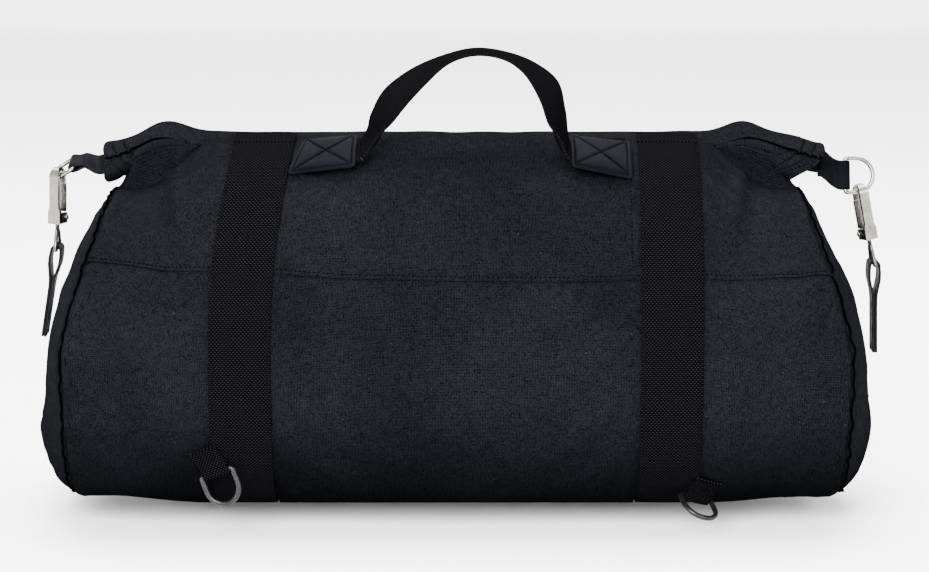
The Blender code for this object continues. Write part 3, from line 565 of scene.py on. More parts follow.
# The end panels are the same canvas in a copy painted 1.25 times lighter: painted light on the ends.
END_CANVAS_PAINTED_LIGHTER = canvas_finish("end_canvas", 1.25)
STRAP_WEBBING = webbing_finish("strap_webbing", 0.0030, (0.0003, 0.0003, 0.0004), (0.0076, 0.0074, 0.0084))
HANDLE_WEBBING = webbing_finish("handle_webbing", 0.0026, (0.0003, 0.0003, 0.0004), (0.0070, 0.0069, 0.0078))
LEATHER = leather_finish("satin_leather", (0.0011, 0.0011, 0.0017))
LEATHER_EDGE = leather_finish("leather_edge", (0.0050, 0.0050, 0.0060), edge=True)
PATCH_EDGE = leather_finish("patch_edge", (0.0028, 0.0028, 0.0036), edge=True)
NICKEL = nickel_finish("brushed_nickel", (0.195, 0.188, 0.168), 0.18, 0.34)
DARK_NICKEL = nickel_finish("worn_nickel", (0.080, 0.078, 0.072), 0.22, 0.40)
BLACK_STEEL = black_steel_finish()
THREAD = thread_finish("black_thread", (0.0003, 0.0003, 0.0004), (0.0022, 0.0022, 0.0028))
BINDING = thread_finish("binding_tape", (0.0014, 0.0014, 0.0017), (0.0036, 0.0037, 0.0044))
SEAM_THREAD = thread_finish("seam_thread", (0.0001, 0.0001, 0.0001), (0.0007, 0.0007, 0.0008))
BATTEN = batten_finish()


# Canvas skins

# Columns at the edges of the straps' grooves, as shares of the skin's reach
GROOVE_SHARES = [(place + edge) / (SEAM_REACH + SEAM_LAP) for place in STRAP_PLACE.values()
                 for edge in (-0.0275, -0.0268, -0.0254, 0.0254, 0.0268, 0.0275)]
SHARES = np.unique(np.concatenate([np.linspace(-1, -0.96, 24), np.linspace(-0.96, 0.96, 231),
                                   np.linspace(0.96, 1, 24), GROOVE_SHARES]))
SHARES = SHARES[np.concatenate([[True], np.diff(SHARES) > 1e-4])]
COLUMNS, ROWS = len(SHARES), 300
TOP_ANGLE, LAST_ANGLE = 88.0, BACK_EDGE - 360.0


def skin_grid():
    """The barrel's skin from the ridge, down the front, under the base and up the back: rows of angles, columns of
    places along the bag."""
    share = SHARES[None]
    angle = np.linspace(TOP_ANGLE, LAST_ANGLE, ROWS)[:, None]
    angle = angle + 0 * share
    x = share * (seam_place(angle) + SEAM_LAP)
    return x, angle


def strap_cover(x, angle, margin=0.0):
    """1 under a strap and 0 from 9 mm outside it."""
    cover = np.zeros_like(x)
    for word in SIDES:
        away = np.abs(x - strap_middle(word, angle)) - STRAP_WIDTH / 2 - margin
        cover = np.maximum(cover, 1 - smoothstep(away, 0.0, 0.009))
    return cover


def relax(points, pins, pressure, growth, frames=14, stiffness=12.0, limit=0.006):
    """Cloth's own settling of a grid: held by its pins, blown out a little and grown by a share. Each point's move is
    kept under a limit by a hyperbolic tangent of its size."""
    mesh_object = add_mesh("settling_cloth", points, grid_faces(*points.shape[:2])[:, ::-1], [])
    group = mesh_object.vertex_groups.new(name="pins")
    levels = np.round(np.clip(pins.ravel(), 0, 1) * 20) / 20
    for level in np.unique(levels):
        if level > 0:
            group.add(np.flatnonzero(levels == level).tolist(), float(level), "REPLACE")
    cloth = mesh_object.modifiers.new("cloth", "CLOTH")
    rules = cloth.settings
    rules.quality, rules.mass = 5, 0.35
    rules.tension_stiffness = rules.compression_stiffness = stiffness
    rules.shear_stiffness, rules.bending_stiffness = 5.0, 1.2
    rules.tension_damping = rules.compression_damping = 12.0
    rules.air_damping = 6.0
    rules.vertex_group_mass = "pins"
    rules.pin_stiffness = 4.0
    rules.shrink_min = -growth
    rules.use_pressure, rules.uniform_pressure_force = True, pressure
    rules.effector_weights.gravity = 0.12
    cloth.collision_settings.use_collision = False
    cloth.point_cache.frame_start, cloth.point_cache.frame_end = 1, frames
    scene = bpy.context.scene
    for step in range(1, frames + 1):
        scene.frame_set(step)
    graph = bpy.context.evaluated_depsgraph_get()
    done = mesh_object.evaluated_get(graph).to_mesh()
    settled = np.zeros(len(done.vertices) * 3)
    done.vertices.foreach_get("co", settled)
    settled = settled.reshape(points.shape)
    scene.frame_set(1)
    bpy.data.objects.remove(mesh_object)
    move = settled - points
    size = np.linalg.norm(move, axis=-1, keepdims=True)
    return points + move * limit * np.tanh(size / limit) / np.maximum(size, 1e-9)


def settled_skin():
    """The barrel's skin after settling, with puckers along its seams and soft dents in the free canvas."""
    x, angle = skin_grid()
    points = barrel_point(x, angle)
    cover = strap_cover(x, angle)
    edge = (seam_place(angle) + SEAM_LAP) - np.abs(x)
    floor = 1 - smoothstep(points[..., 2], 0.0004, 0.012)
    top = smoothstep(angle, 76.0, 82.0)
    back_top = 1 - smoothstep(angle, LAST_ANGLE, LAST_ANGLE + 10)
    free = (1 - cover) * (1 - floor) * (1 - top) * (1 - back_top) * smoothstep(edge, 0.0, 0.012)
    seam = bell(angle - SEAM_ANGLE, 1.5)
    pins = np.clip(1 - free + 0.35 * seam, 0.0, 1.0)
    coarse = (slice(None, None, 2), slice(None, None, 2))
    start = points[coarse]
    moved = relax(start, pins[coarse], 2.2, 0.012) - start
    points = points + refine(moved, points.shape[:2])
    arc = np.broadcast_to(arc_along(points, 0), x.shape)
    wide = np.abs(x)
    ends = smoothstep(wide, 0.20, 0.30)
    beat = undulation(arc, x * 0.2, 5, 60, 105, 3)
    pucker = 0.0007 * beat * np.exp(-edge / 0.007) * smoothstep(edge, 0.0010, 0.003)
    slack = undulation(x, arc, 7, 4.0, 11.0, 8) * (0.0005 + 0.0011 * ends)
    ripples = undulation(x, arc, 6, 14.0, 30.0, 5) * (0.00012 + 0.00035 * ends)
    seam_arc = (angle - SEAM_ANGLE) * np.radians(1) * 0.15
    gather = 0.00045 * undulation(x, arc * 0.15, 4, 70, 130, 9) * np.exp(-np.abs(seam_arc) / 0.006)
    turn_in = -0.0050 * np.exp(-(edge / 0.0030) ** 2)
    relief = (pucker + slack + ripples + gather) * (1 - cover) * (1 - floor) + turn_in * (1 - 0.5 * floor)
    relief += shoulder_folds(x, angle, points) * (1 - cover)
    points = points + outward(points, x, angle) * relief[..., None]
    points[..., 2] = np.maximum(points[..., 2], 0.0002)
    return x, angle, points


def outward(points, x, angle):
    """A skin's unit normals: the steps down its rows and across its columns crossed, on the barrel's outward side."""
    out = unit(np.cross(np.gradient(points, axis=0), np.gradient(points, axis=1)))
    return out * np.sign((out * barrel_out(x, angle)).sum(-1, keepdims=True))


def refine(values, shape):
    """A coarse grid of values brought to a finer one, straight between its points."""
    rows = np.linspace(0, values.shape[0] - 1, shape[0])
    columns = np.linspace(0, values.shape[1] - 1, shape[1])
    r = np.minimum(rows.astype(int), values.shape[0] - 2)
    c = np.minimum(columns.astype(int), values.shape[1] - 2)
    a, b = (rows - r)[:, None, None], (columns - c)[None, :, None]
    top = values[r][:, c] * (1 - b) + values[r][:, c + 1] * b
    low = values[r + 1][:, c] * (1 - b) + values[r + 1][:, c + 1] * b
    return top * (1 - a) + low * a


def shoulder_folds(x, angle, points):
    """Folds below the roll's ends: a slanting ridge, a dip and a small ridge, each a bell across, that fade down the
    front."""
    wide, z = np.abs(x), points[..., 2]
    front = smoothstep(np.cos(np.radians(angle)), 0.0, 0.25)
    high = smoothstep(z, 0.205, 0.262) * front
    pull = 0.0026 * bell(wide - 0.232 + 0.35 * (0.262 - z), 0.0065)
    dip = -0.0030 * bell(wide - 0.248 + 0.30 * (0.262 - z), 0.0080)
    small = 0.0010 * bell(wide - 0.283 - 0.2 * (0.262 - z), 0.004)
    return high * (pull + dip + small)


class Skin:
    """The settled skin: points and outward ways looked up by place along the bag and angle round it."""

    def __init__(self):
        x, angle, self.points = settled_skin()
        self.out = outward(self.points, x, angle)

    def at(self, x, angle, lift=0.0):
        """The skin's point and outward way at a place and an angle, straight between grid points."""
        x, angle = np.broadcast_arrays(np.asarray(x, float), np.asarray(angle, float))
        row = np.clip((TOP_ANGLE - angle) / (TOP_ANGLE - LAST_ANGLE) * (ROWS - 1), 0, ROWS - 1.001)
        share = x / (seam_place(angle) + SEAM_LAP)
        column = np.clip(np.interp(share, SHARES, np.arange(COLUMNS)), 0, COLUMNS - 1.001)
        r, c = row.astype(int), column.astype(int)
        a, b = (row - r)[..., None], (column - c)[..., None]

        def look(values):
            """Values at the four grid points round each place, weighed by nearness."""
            return ((values[r, c] * (1 - b) + values[r, c + 1] * b) * (1 - a)
                    + (values[r + 1, c] * (1 - b) + values[r + 1, c + 1] * b) * a)

        out = unit(look(self.out))
        return look(self.points) + out * np.asarray(lift)[..., None], out


FRONT_SEAM_HEIGHT = np.array([(-0.32, 0.2180), (-0.26, 0.2150), (-0.21, 0.2128), (-0.16, 0.2105), (-0.10, 0.2085),
                              (0.0, 0.2062), (0.15, 0.2050), (0.20, 0.2066), (0.26, 0.2064), (0.32, 0.2058)])


def long_seam_angle(share, back=False):
    """The back seam is at 160 degrees, and 13 less at the ends. The front one keeps to its own heights: the angle whose
    sine, to the section's power, gives the height over the belly as a share of the rise there."""
    if back:
        return -200.0 - 13.0 * smoothstep(np.abs(share), 0.60, 0.95)
    x = share * 0.305
    height = np.interp(x, *FRONT_SEAM_HEIGHT.T)
    rise = FRONT_RISE - RIDGE_DROP * smoothstep(np.abs(x), 0.193, 0.271)
    return np.degrees(np.arcsin(((height - BELLY_HEIGHT) / rise) ** (SECTION_POWER / 2)))


def canvas_panels(skin):
    """Three panels cut from the skin at its long seams. The upper ones lap over the base's edge by 4 mm."""
    share = SHARES[None]
    front, back = long_seam_angle(share), long_seam_angle(share, back=True)
    top = np.full_like(share, RIDGE_ANGLE + 1.5)
    last = np.full_like(share, LAST_ANGLE)
    lap = np.degrees(0.004 / HALF_DEPTH)
    cuts = (("front_upper_canvas", top, front, 100, "front_upper_panel"),
            ("base_canvas", front + lap, back - lap, 260, "base_panel"),
            ("back_upper_canvas", back, last, 90, "back_upper_panel"))
    for name, high, low, rows, node in cuts:
        t = np.linspace(0, 1, rows)[:, None]
        angle = high + (low - high) * t
        x = share * (seam_place(angle) + SEAM_LAP)
        from_front = (angle - front) * np.radians(1) * HALF_DEPTH
        from_back = (back - angle) * np.radians(1) * HALF_DEPTH
        cover = strap_cover(x, angle, 0.001)
        if node == "front_upper_panel":
            lift = seam_step(from_front) * (1 - 0.8 * cover)
            lift += overlay_edge(x, angle) * (1 - cover)
        elif node == "back_upper_panel":
            lift = seam_step(from_back) * (1 - 0.8 * cover)
        else:
            under = smoothstep(from_front, -0.003, 0.0) + smoothstep(from_back, -0.003, 0.0)
            lift = -0.0012 * under * (1 - 0.5 * cover)
        points, _ = skin.at(x, angle, lift)
        if node == "front_upper_panel":
            points = np.concatenate([gusset(points), points])
        piece = add_sheet(name, points, CANVAS_WALL, [CANVAS], uv=cloth_uv(x, points), flip=True)
        place(piece, "bag", [node])
        declare_sheet(points)


def gusset(points):
    """Carries the front canvas on from the ridge to the roll: a curve that starts the ridge's own way and ends on the
    roll's front face, or past the roll's ends on the barrel's back."""
    start, ahead = points[0], unit(points[0] - points[3])
    x = start[:, 0]
    wide = np.abs(x)
    middle = roll_middle(x)
    tuck = smoothstep(wide, 0.268, 0.290)[:, None]
    front = middle + np.stack([0 * x, 0 * x - 0.0285, 0.006 + 0 * x], -1)
    behind = barrel_point(x, 97.0, -0.001)
    end = front * (1 - tuck) + behind * tuck
    gap = np.linalg.norm(end - start, axis=-1, keepdims=True)
    into = np.stack([0 * x, 0 * x + 0.35, 1 + 0 * x], -1) * (1 - tuck) + np.array([0.0, 1.0, -0.2]) * tuck
    into = unit(into)
    t = np.linspace(1, 0.04, 26)[:, None, None]
    curve = ((2 * t ** 3 - 3 * t ** 2 + 1) * start + (t ** 3 - 2 * t ** 2 + t) * ahead * gap * 0.9
             + (3 * t ** 2 - 2 * t ** 3) * end + (t ** 3 - t ** 2) * into * gap * 0.8)
    soft = undulation(x[None], t[..., 0] * 0.05, 5, 9.0, 24.0, 61) * 0.0012 * np.sin(np.pi * t[..., 0])
    curve[..., 1] -= soft * smoothstep(wide, 0.19, 0.23)
    return curve


def cloth_uv(x, points):
    """Place along the bag, and distance round it down the middle column."""
    middle = arc_along(points[:, COLUMNS // 2:COLUMNS // 2 + 1], 0)
    return np.stack([x[-1:] + 0 * middle, middle + 0 * x[-1:]], axis=-1)


def seam_step(away):
    """A lapped seam's height over its distance from the edge: 0.8 mm proud, with a groove where it is sewn."""
    lap = 0.0008 * bell(away, 0.012)
    return lap - 0.00075 * bell(away - 0.0030, 0.0009) + 0.0002 * bell(away - 0.0055, 0.0012)


def overlay_edge(x, angle):
    """The upright edge beside the right strap, from under the patch to the seam: a step of 0.8 mm with a sewn
    groove."""
    held = smoothstep(angle, 18.0, 22.0) * (1 - smoothstep(angle, 62.0, 66.0))
    step = 0.0008 * (smoothstep(x, 0.1300, 0.1450) - smoothstep(x, 0.1452, 0.1460))
    return held * (step - 0.0006 * bell(x - 0.1425, 0.0008))


def declare_sheet(points):
    """Works out the crosses of a cloth's steps down its rows and across its columns, and keeps nothing of them."""
    steps = np.cross(points[1:, :-1] - points[:-1, :-1], points[:-1, 1:] - points[:-1, :-1])


def end_skins():
    """Shallow domes: each point runs from the middle to the seam, its rise 1 less the share to a power. Puckers
    run in from the rim, with a few soft folds."""
    rim_share = 1 - 0.0020 / 0.0861
    rings, spokes = 54, 260
    share = (rim_share * np.sin(np.pi / 2 * np.linspace(0.012, 1, rings)))[:, None]
    turn = np.linspace(0, 360, spokes, endpoint=False)[None]
    for word, side in SIDES.items():
        angle = turn - 360 * np.round(turn / 360)
        rim = barrel_plain(side * seam_place(angle), angle)[0]
        middle = np.array([side * (SEAM_REACH + 0.028), 0.0, 0.6 * BELLY_HEIGHT])
        power = 2.6 - 0.5 * np.sin(np.radians(angle))
        rise = 1 - share ** power
        points = middle + (rim[None] - middle) * share[..., None]
        points[..., 0] = rim[None, :, 0] + (middle[0] - rim[None, :, 0]) * rise
        arc = arc_along(rim)[None]
        edge = (1 - share) * 0.13
        beat = undulation(arc, 0 * arc, 6, 45, 95, 20 + side)
        pucker = 0.0013 * beat * np.exp(-edge / 0.014) * smoothstep(edge, 0.001, 0.005)
        fold = 0.0022 * undulation(points[..., 1], points[..., 2], 6, 5.0, 13.0, 30 + side)
        fold = fold * smoothstep(edge, 0.0, 0.03)
        slant = 0.0016 * bell(points[..., 2] - 0.195 - 0.3 * points[..., 1], 0.010) * smoothstep(edge, 0.004, 0.03)
        roll_in = -0.0050 * bell(edge, 0.0042)
        away = unit(points - np.array([0.0, 0.0, BELLY_HEIGHT]))
        out = unit(np.stack([side * np.ones_like(away[..., 0]), away[..., 1], away[..., 2]], -1))
        points = points + out * (pucker + fold + slant + roll_in)[..., None]
        points[..., 2] = np.maximum(points[..., 2], 0.0006)
        ring = np.concatenate([points, points[:, :1]], axis=1)
        pins = np.broadcast_to(1 - smoothstep(edge, 0.0, 0.02), ring.shape[:2])
        coarse = ring[::2, ::2]
        moved = relax(coarse[:, ::side], pins[::2, ::2][:, ::side], 1.2, 0.01, frames=10, limit=0.0035)
        moved = (moved - coarse[:, ::side])[:, ::side]
        moved[:, -1] = moved[:, 0]
        points = points + refine(moved, ring.shape[:2])[:, :-1]
        hub, spoke = rings * spokes, np.arange(spokes)
        fan = np.stack([np.full(spokes, hub), (spoke + 1) % spokes, spoke], -1)
        faces = grid_faces(rings, spokes, wrap=True)[:, ::side].tolist() + fan[:, ::side].tolist()
        flat = np.vstack([points.reshape(-1, 3), points[0].mean(0)])
        # The end panels take the lighter painted copy of the canvas.
        piece = add_mesh(word + "_end_canvas", flat, faces, [END_CANVAS_PAINTED_LIGHTER], uv=flat[:, [1, 2]])
        face_out_by(piece, side)
        wall = piece.modifiers.new("wall", "SOLIDIFY")
        wall.thickness, wall.offset = CANVAS_WALL, -1.0
        bake_modifiers(piece)
        place(piece, "bag", [word + "_end_panel"])


def face_out_by(made, side):
    """Turns an open dome's faces so that they look away from the bag along its length."""
    mesh = made.data
    normals = np.zeros(len(mesh.polygons) * 3)
    mesh.polygons.foreach_get("normal", normals)
    if (normals.reshape(-1, 3)[:, 0] * side).sum() < 0:
        mesh.flip_normals()


def rolled_mouth():
    """The mouth wound up: a superellipse whose half depth and half height shrink by 5.6 mm a turn for one and three
    quarter turns, squeezed and creased towards its ends. The outer wrap's right end is cut on a slant."""
    count = 150
    x = np.concatenate([np.linspace(-ROLL_REACH["left"], -0.225, 110)[:-1], np.linspace(-0.225, 0.225, 121),
                        np.linspace(0.225, ROLL_REACH["right"], 126)[1:]])[:, None]
    gone = np.linspace(0.0, 630.0, count)[None]
    thick = 0.0024
    shrink = 0.0056 * gone / 360 + thick / 2
    angle = np.radians(160.0 - gone)
    power = 2 / 2.6
    middle = roll_middle(x[:, 0])[:, None]
    wide = np.abs(x)
    reach = np.where(x > 0, ROLL_REACH["right"], ROLL_REACH["left"])
    close = smoothstep(wide, reach - 0.055, reach)
    y = (ROLL_HALF_DEPTH - shrink) * signed_power(np.cos(angle), power) * (1 - 0.10 * close)
    z = (ROLL_HALF_HEIGHT - shrink) * signed_power(np.sin(angle), power) * (1 + 0.02 * close)
    points = middle + np.stack([0 * y, y, z], -1)
    out = unit(np.stack([0 * y, y / ROLL_HALF_DEPTH ** 2, z / ROLL_HALF_HEIGHT ** 2], -1))
    outer = 1 - smoothstep(gone, 300.0, 420.0)
    arc = gone * 0.00022
    relief = undulation(x, arc, 7, 8.0, 26.0, 41) * (0.0004 + 0.0009 * smoothstep(wide, 0.19, 0.27))
    height = points[..., 2] - middle[..., 2]
    folds = ((0.62, 0.026, 0.0032, 0.0013), (0.66, 0.017, 0.0030, 0.0013), (0.70, 0.009, 0.0022, 0.0011),
             (0.5, 0.062, 0.0012, 0.0070))
    for slant, at, depth, width in folds:
        line = (reach - at) - wide + slant * height
        held = smoothstep(-y, -0.004, 0.010)
        relief = relief - depth * bell(line, width) * held
        relief = relief + 0.35 * depth * bell(line - 0.0040, 0.003) * held
    hollow = 0.0040 * bell(wide - 0.228, 0.016) * smoothstep(-y, 0.004, 0.025)
    points = points + out * ((relief - hollow) * outer)[..., None]
    trim = 0.030 * (x > 0) * smoothstep(-height, -0.010, 0.017) * outer * smoothstep(wide, reach - 0.055, reach)
    points[..., 0] -= trim
    ragged = 0.004 * np.sin(np.radians(gone * 1.3 + 40)) * smoothstep(wide, reach - 0.02, reach)
    points[..., 0] += np.sign(x) * (ragged - 0.004 * smoothstep(wide, reach - 0.02, reach))
    uv = np.stack([x + 0 * gone, arc + 0 * x], -1)
    piece = add_sheet("rolled_mouth_canvas", points, thick, [CANVAS], offset=0.0, uv=uv)
    face_out(piece)
    place(piece, "bag", ["rolled_mouth"])
    declare_sheet(points)


# Straps and handle

def strap_pieces():
    """Each strap is the band within half its width of the strap line, from the ridge round under the base to the
    back, with its top end turned over."""
    for word in SIDES:
        rows, across = 420, 25
        angle = np.linspace(82.0, 116.0 - 360.0, rows)[:, None]
        share = np.linspace(-0.5, 0.5, across)[None]
        x = strap_middle(word, angle) + STRAP_WIDTH * share
        crown = 0.00022 * (1 - (2 * share) ** 4)
        lift = STRAP_GAP + WEBBING + crown
        points = barrel_point(x, angle, lift + 0 * x)
        arc = arc_along(points[:, across // 2:across // 2 + 1], 0)
        uv = np.stack([STRAP_WIDTH * share + 0 * arc, arc + 0 * share], -1)
        piece = add_sheet(word + "_strap_webbing", points, WEBBING + crown.max(), [STRAP_WEBBING], uv=uv,
                          bevel=0.0006, flip=True)
        place(piece, "bag", [word + "_barrel_strap"])
        for edge, inset in (("outer", -0.5), ("inner", 0.5)):
            line = np.linspace(80.0, 118.0 - 360.0, 500)
            at = strap_middle(word, line) + STRAP_WIDTH * inset - np.sign(inset) * 0.0026
            stitches(f"{word}_strap_{edge}_stitches", barrel_point(at, line, 0.0007 + WEBBING + 0 * at),
                     barrel_out(at, line), THREAD, pitch=0.0040, length=0.0029, radius=0.00036)
        cap_angle = np.linspace(82.2, 73.5, 22)[:, None]
        cap_x = strap_middle(word, cap_angle) + (STRAP_WIDTH + 0.0006) * share
        cap_lift = STRAP_GAP + WEBBING + 0.0013 * smoothstep(84.0 - cap_angle, 0.0, 4.0)
        cap = barrel_point(cap_x, cap_angle, cap_lift + 0 * cap_x)
        uv = np.stack([STRAP_WIDTH * share + 0 * cap_angle, arc_along(cap[:, :1], 0) + 0 * share], -1)
        cap_piece = add_sheet(word + "_strap_turnover", cap, 0.0011, [STRAP_WEBBING], uv=uv, bevel=0.0006,
                              flip=True)
        place(cap_piece, "bag")


# Points of the handle's arch: shares of its span, and of its height
HANDLE_SHAPE = np.array([
    (0.000, 0.000), (0.035, 0.012), (0.085, 0.140), (0.110, 0.290), (0.175, 0.520), (0.290, 0.750), (0.415, 0.920),
    (0.550, 1.000), (0.690, 0.960), (0.805, 0.830), (0.895, 0.600), (0.930, 0.320), (0.945, 0.150), (0.975, 0.012),
    (1.000, 0.000)])
HANDLE_FOOT = {"left": -0.083, "right": 0.095}
HANDLE_ANGLE, HANDLE_HEIGHT, HANDLE_HALF = 69.0, 0.0815, 0.019


def handle_webbing():
    """One ribbon from patch to patch. Its middle runs through the arch's points, its width turns from the barrel's
    slope at the feet to level at the top, and its section cups where it is pinched above the patches."""
    seat = barrel_point(0.0, HANDLE_ANGLE, 0.0015)
    span = HANDLE_FOOT["right"] - HANDLE_FOOT["left"]
    along, high = HANDLE_SHAPE.T
    slope = unit(barrel_point(0.0, HANDLE_ANGLE + 4) - barrel_point(0.0, HANDLE_ANGLE - 4))
    share = smoothstep(high, 0.55, 1.0)[:, None]
    lean = np.sin(np.pi * np.minimum(1.0, high)) * np.where(along < 0.5, -0.42, 0.42)
    level = np.array([0.0, 1.0, 0.04])
    ways = unit(slope * (1 - share) + level * share + lean[:, None] * np.array([1.0, 0.0, 0.0]))
    line = np.stack([HANDLE_FOOT["left"] + span * along, seat[1] + 0 * high, seat[2] + HANDLE_HEIGHT * high], -1)
    count = 320
    line, ways = curve_through(line, count), unit(curve_through(ways, count))
    rise = (line[:, 2] - seat[2]) / HANDLE_HEIGHT
    tails = {}
    for word, side in SIDES.items():
        reach = np.linspace(0.045, 0.0007, 30)
        x = HANDLE_FOOT[word] + side * reach
        tails[word] = (barrel_point(x, HANDLE_ANGLE, 0.0015 + 0 * x), np.repeat(slope[None], 30, 0))
    line = np.vstack([tails["left"][0], line, tails["right"][0][::-1]])
    ways = np.vstack([tails["left"][1], ways, tails["right"][1][::-1]])
    rise = np.concatenate([np.zeros(30), rise, np.zeros(30)])
    tangent = unit(np.gradient(line, axis=0))
    normal = unit(np.cross(tangent, ways))
    normal *= np.where(normal[:, 2:] < 0, -1.0, 1.0)
    across = np.linspace(-1.0, 1.0, 21)[None]
    pinch = bell(rise - 0.16, 0.16) * (rise > 0.004)
    half = HANDLE_HALF * (1 - 0.26 * pinch)[:, None]
    points = line[:, None] + ways[:, None] * (half * across)[..., None]
    front = np.where(np.abs(normal[:, 1:2]) > 0.3, np.sign(-normal[:, 1:2]), 1.0)
    cup = (0.0065 * pinch)[:, None] * (across ** 2 - 0.4)
    points = points + (normal * front)[:, None] * cup[..., None]
    arc = arc_along(line)[:, None]
    uv = np.stack([HANDLE_HALF * across + 0 * arc, arc + 0 * across], -1)
    piece = add_sheet("handle_ribbon", points, WEBBING, [HANDLE_WEBBING], offset=0.0, uv=uv, bevel=0.0005)
    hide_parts("handle_arch", "left_handle_foot", "right_handle_foot")
    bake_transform(piece)


def rounded(u, v, half_u, half_v, radius):
    """A square of points from -1 to 1 fitted to a rectangle with round corners: each corner's square becomes a quarter
    disc by the square root of 1 less half the other side squared."""
    inner_u, inner_v = 1 - radius / half_u, 1 - radius / half_v
    a = np.clip((np.abs(u) - inner_u) / (1 - inner_u), 0, 1)
    b = np.clip((np.abs(v) - inner_v) / (1 - inner_v), 0, 1)
    disc_a, disc_b = a * np.sqrt(1 - b * b / 2), b * np.sqrt(1 - a * a / 2)
    x = np.sign(u) * (np.minimum(np.abs(u), inner_u) * half_u + radius * disc_a)
    y = np.sign(v) * (np.minimum(np.abs(v), inner_v) * half_v + radius * disc_b)
    return x, y


# Each patch's middle along the bag and angle round it, the drop of its outer end, and the spread of its foot
PATCH_PLACE = {"left": (-0.1080, 66.5), "right": (0.1190, 65.5)}
PATCH_SHEAR = {"left": 0.20, "right": -0.30}
PATCH_FLARE = {"left": 0.12, "right": 0.0}
PATCH_HALF = (0.0250, 0.0265)


def patch_place(word, u, v, lift):
    """A patch's own flat place laid on the barrel: its outer end dropped by its shear and its foot widened by its
    flare, then along the bag and round it."""
    x, angle = PATCH_PLACE[word]
    along, up = u + PATCH_FLARE[word] * v * (1 - u / PATCH_HALF[0]), v + PATCH_SHEAR[word] * u
    return barrel_point(x + along, angle + np.degrees(up / HALF_DEPTH), lift)


def handle_patches():
    """Leather rectangles with round corners, padded between a sewn border and a sewn cross."""
    half_u, half_v = PATCH_HALF
    lift = STRAP_GAP + WEBBING + 0.0021
    for word in SIDES:
        u, v = np.meshgrid(np.linspace(-1, 1, 91), np.linspace(1, -1, 91))
        u, v = rounded(u, v, half_u, half_v, 0.0045)
        inset = 0.0032
        box = np.maximum(np.abs(u) - (half_u - inset), np.abs(v) - (half_v - inset))
        slope = (half_v - inset) / (half_u - inset)
        cross = np.minimum(np.abs(v - slope * u), np.abs(v + slope * u)) / np.hypot(1, slope)
        sewn = np.minimum(np.abs(box), np.where(box < 0, cross, 1.0))
        puff = 0.0011 * (1 - np.exp(-sewn / 0.0022)) * (box < 0) - 0.0007 * bell(sewn, 0.0006)
        edge = np.minimum(half_u - np.abs(u), half_v - np.abs(v))
        droop = -0.0009 * np.exp(-edge / 0.0010)
        points = patch_place(word, u, v, lift + puff + droop)
        piece = add_sheet(word + "_patch_leather", points, LEATHER_WALL, [LEATHER, PATCH_EDGE], bevel=0.0003,
                          uv=np.stack([u, v], -1), flip=True)
        place(piece, "bag", [word + "_handle_patch"])
        a, b = half_u - inset, half_v - inset
        corners = np.array([(-a, -b), (a, -b), (a, b), (-a, b), (-a, -b)])
        border = np.vstack([first + (second - first) * np.linspace(0, 1, 40)[:, None]
                            for first, second in zip(corners[:-1], corners[1:])])
        diagonals = [np.linspace((-a, -b), (a, b), 60), np.linspace((-a, b), (a, -b), 60)]
        for index, path in enumerate([border, *diagonals]):
            line = patch_place(word, path[:, 0], path[:, 1], lift - 0.0003 + 0 * path[:, 0])
            outs = unit(patch_place(word, path[:, 0], path[:, 1], lift + 0.01 + 0 * path[:, 0]) - line)
            stitches(f"{word}_patch_stitches_{index}", line, outs, THREAD, pitch=0.0027, length=0.0020,
                     radius=0.00034)


# Leather folds, rings and loops

def fold_path(thickness, bore, length, neck, low=0.0, steps=16):
    """A strip's middle round a bar at the start: in along one leg, a 236 degree arc of the bore, and out along the
    other."""
    eye, leg = bore + thickness / 2, (thickness + 0.0003) / 2
    out = np.linspace(length, neck, steps)
    legs = np.stack([out, 0 * out + low], -1)
    around = np.radians(np.linspace(62, 298, 26))
    arc = np.stack([eye * np.cos(around), eye * np.sin(around)], -1)
    there = legs + np.array([0.0, leg])
    back = legs[::-1] - np.array([0.0, leg])
    return smooth_line(np.vstack([there, arc, back]), 3)


def smooth_line(points, rounds):
    """Each inner point moved a quarter of the way to its two neighbours, a few times."""
    for _ in range(rounds):
        points = points.copy()
        points[1:-1] = 0.5 * points[1:-1] + 0.25 * (points[:-2] + points[2:])
    return points


def leather_fold(name, pivot, end, bar_way, end_way, width, bore, neck, node, wave=None, bulge=0.0):
    """A leather strip folded round a bar, its width turning from the bar's way to its end's way, waved along its run
    and bulged near the bar. Returns its run, middle line, width ways and face ways."""
    pivot, end, bar_way, end_way = (np.asarray(v, float) for v in (pivot, end, bar_way, end_way))
    way = end - pivot
    shift = bar_way * way.dot(bar_way)
    leg_way, length = unit(way - shift), np.linalg.norm(way - shift)
    face_way = np.cross(leg_way, bar_way)
    path = fold_path(LEATHER_WALL, bore, length, neck)
    out, across = path.T
    across = across + np.sign(across) * bulge * bell(out - 0.011, 0.011)
    share = smoothstep(out, 0.4 * neck, length)[:, None]
    width_way = unit(bar_way * (1 - share) + end_way * share)
    face = unit(face_way - width_way * (face_way * width_way).sum(-1, keepdims=True))
    middle = pivot + leg_way * out[:, None] + shift * share + face * across[:, None]
    if wave is not None:
        middle = middle + face * (wave(out / length) * smoothstep(out, 0.004, 0.010))[:, None]
    columns = np.linspace(-0.5, 0.5, 17)[None]
    points = middle[:, None] + width_way[:, None] * (width * columns)[..., None]
    piece = add_sheet(name, points, LEATHER_WALL, [LEATHER, LEATHER_EDGE], offset=0.0, bevel=0.0004)
    place(piece, "bag", [node])
    return out, middle, width_way, face


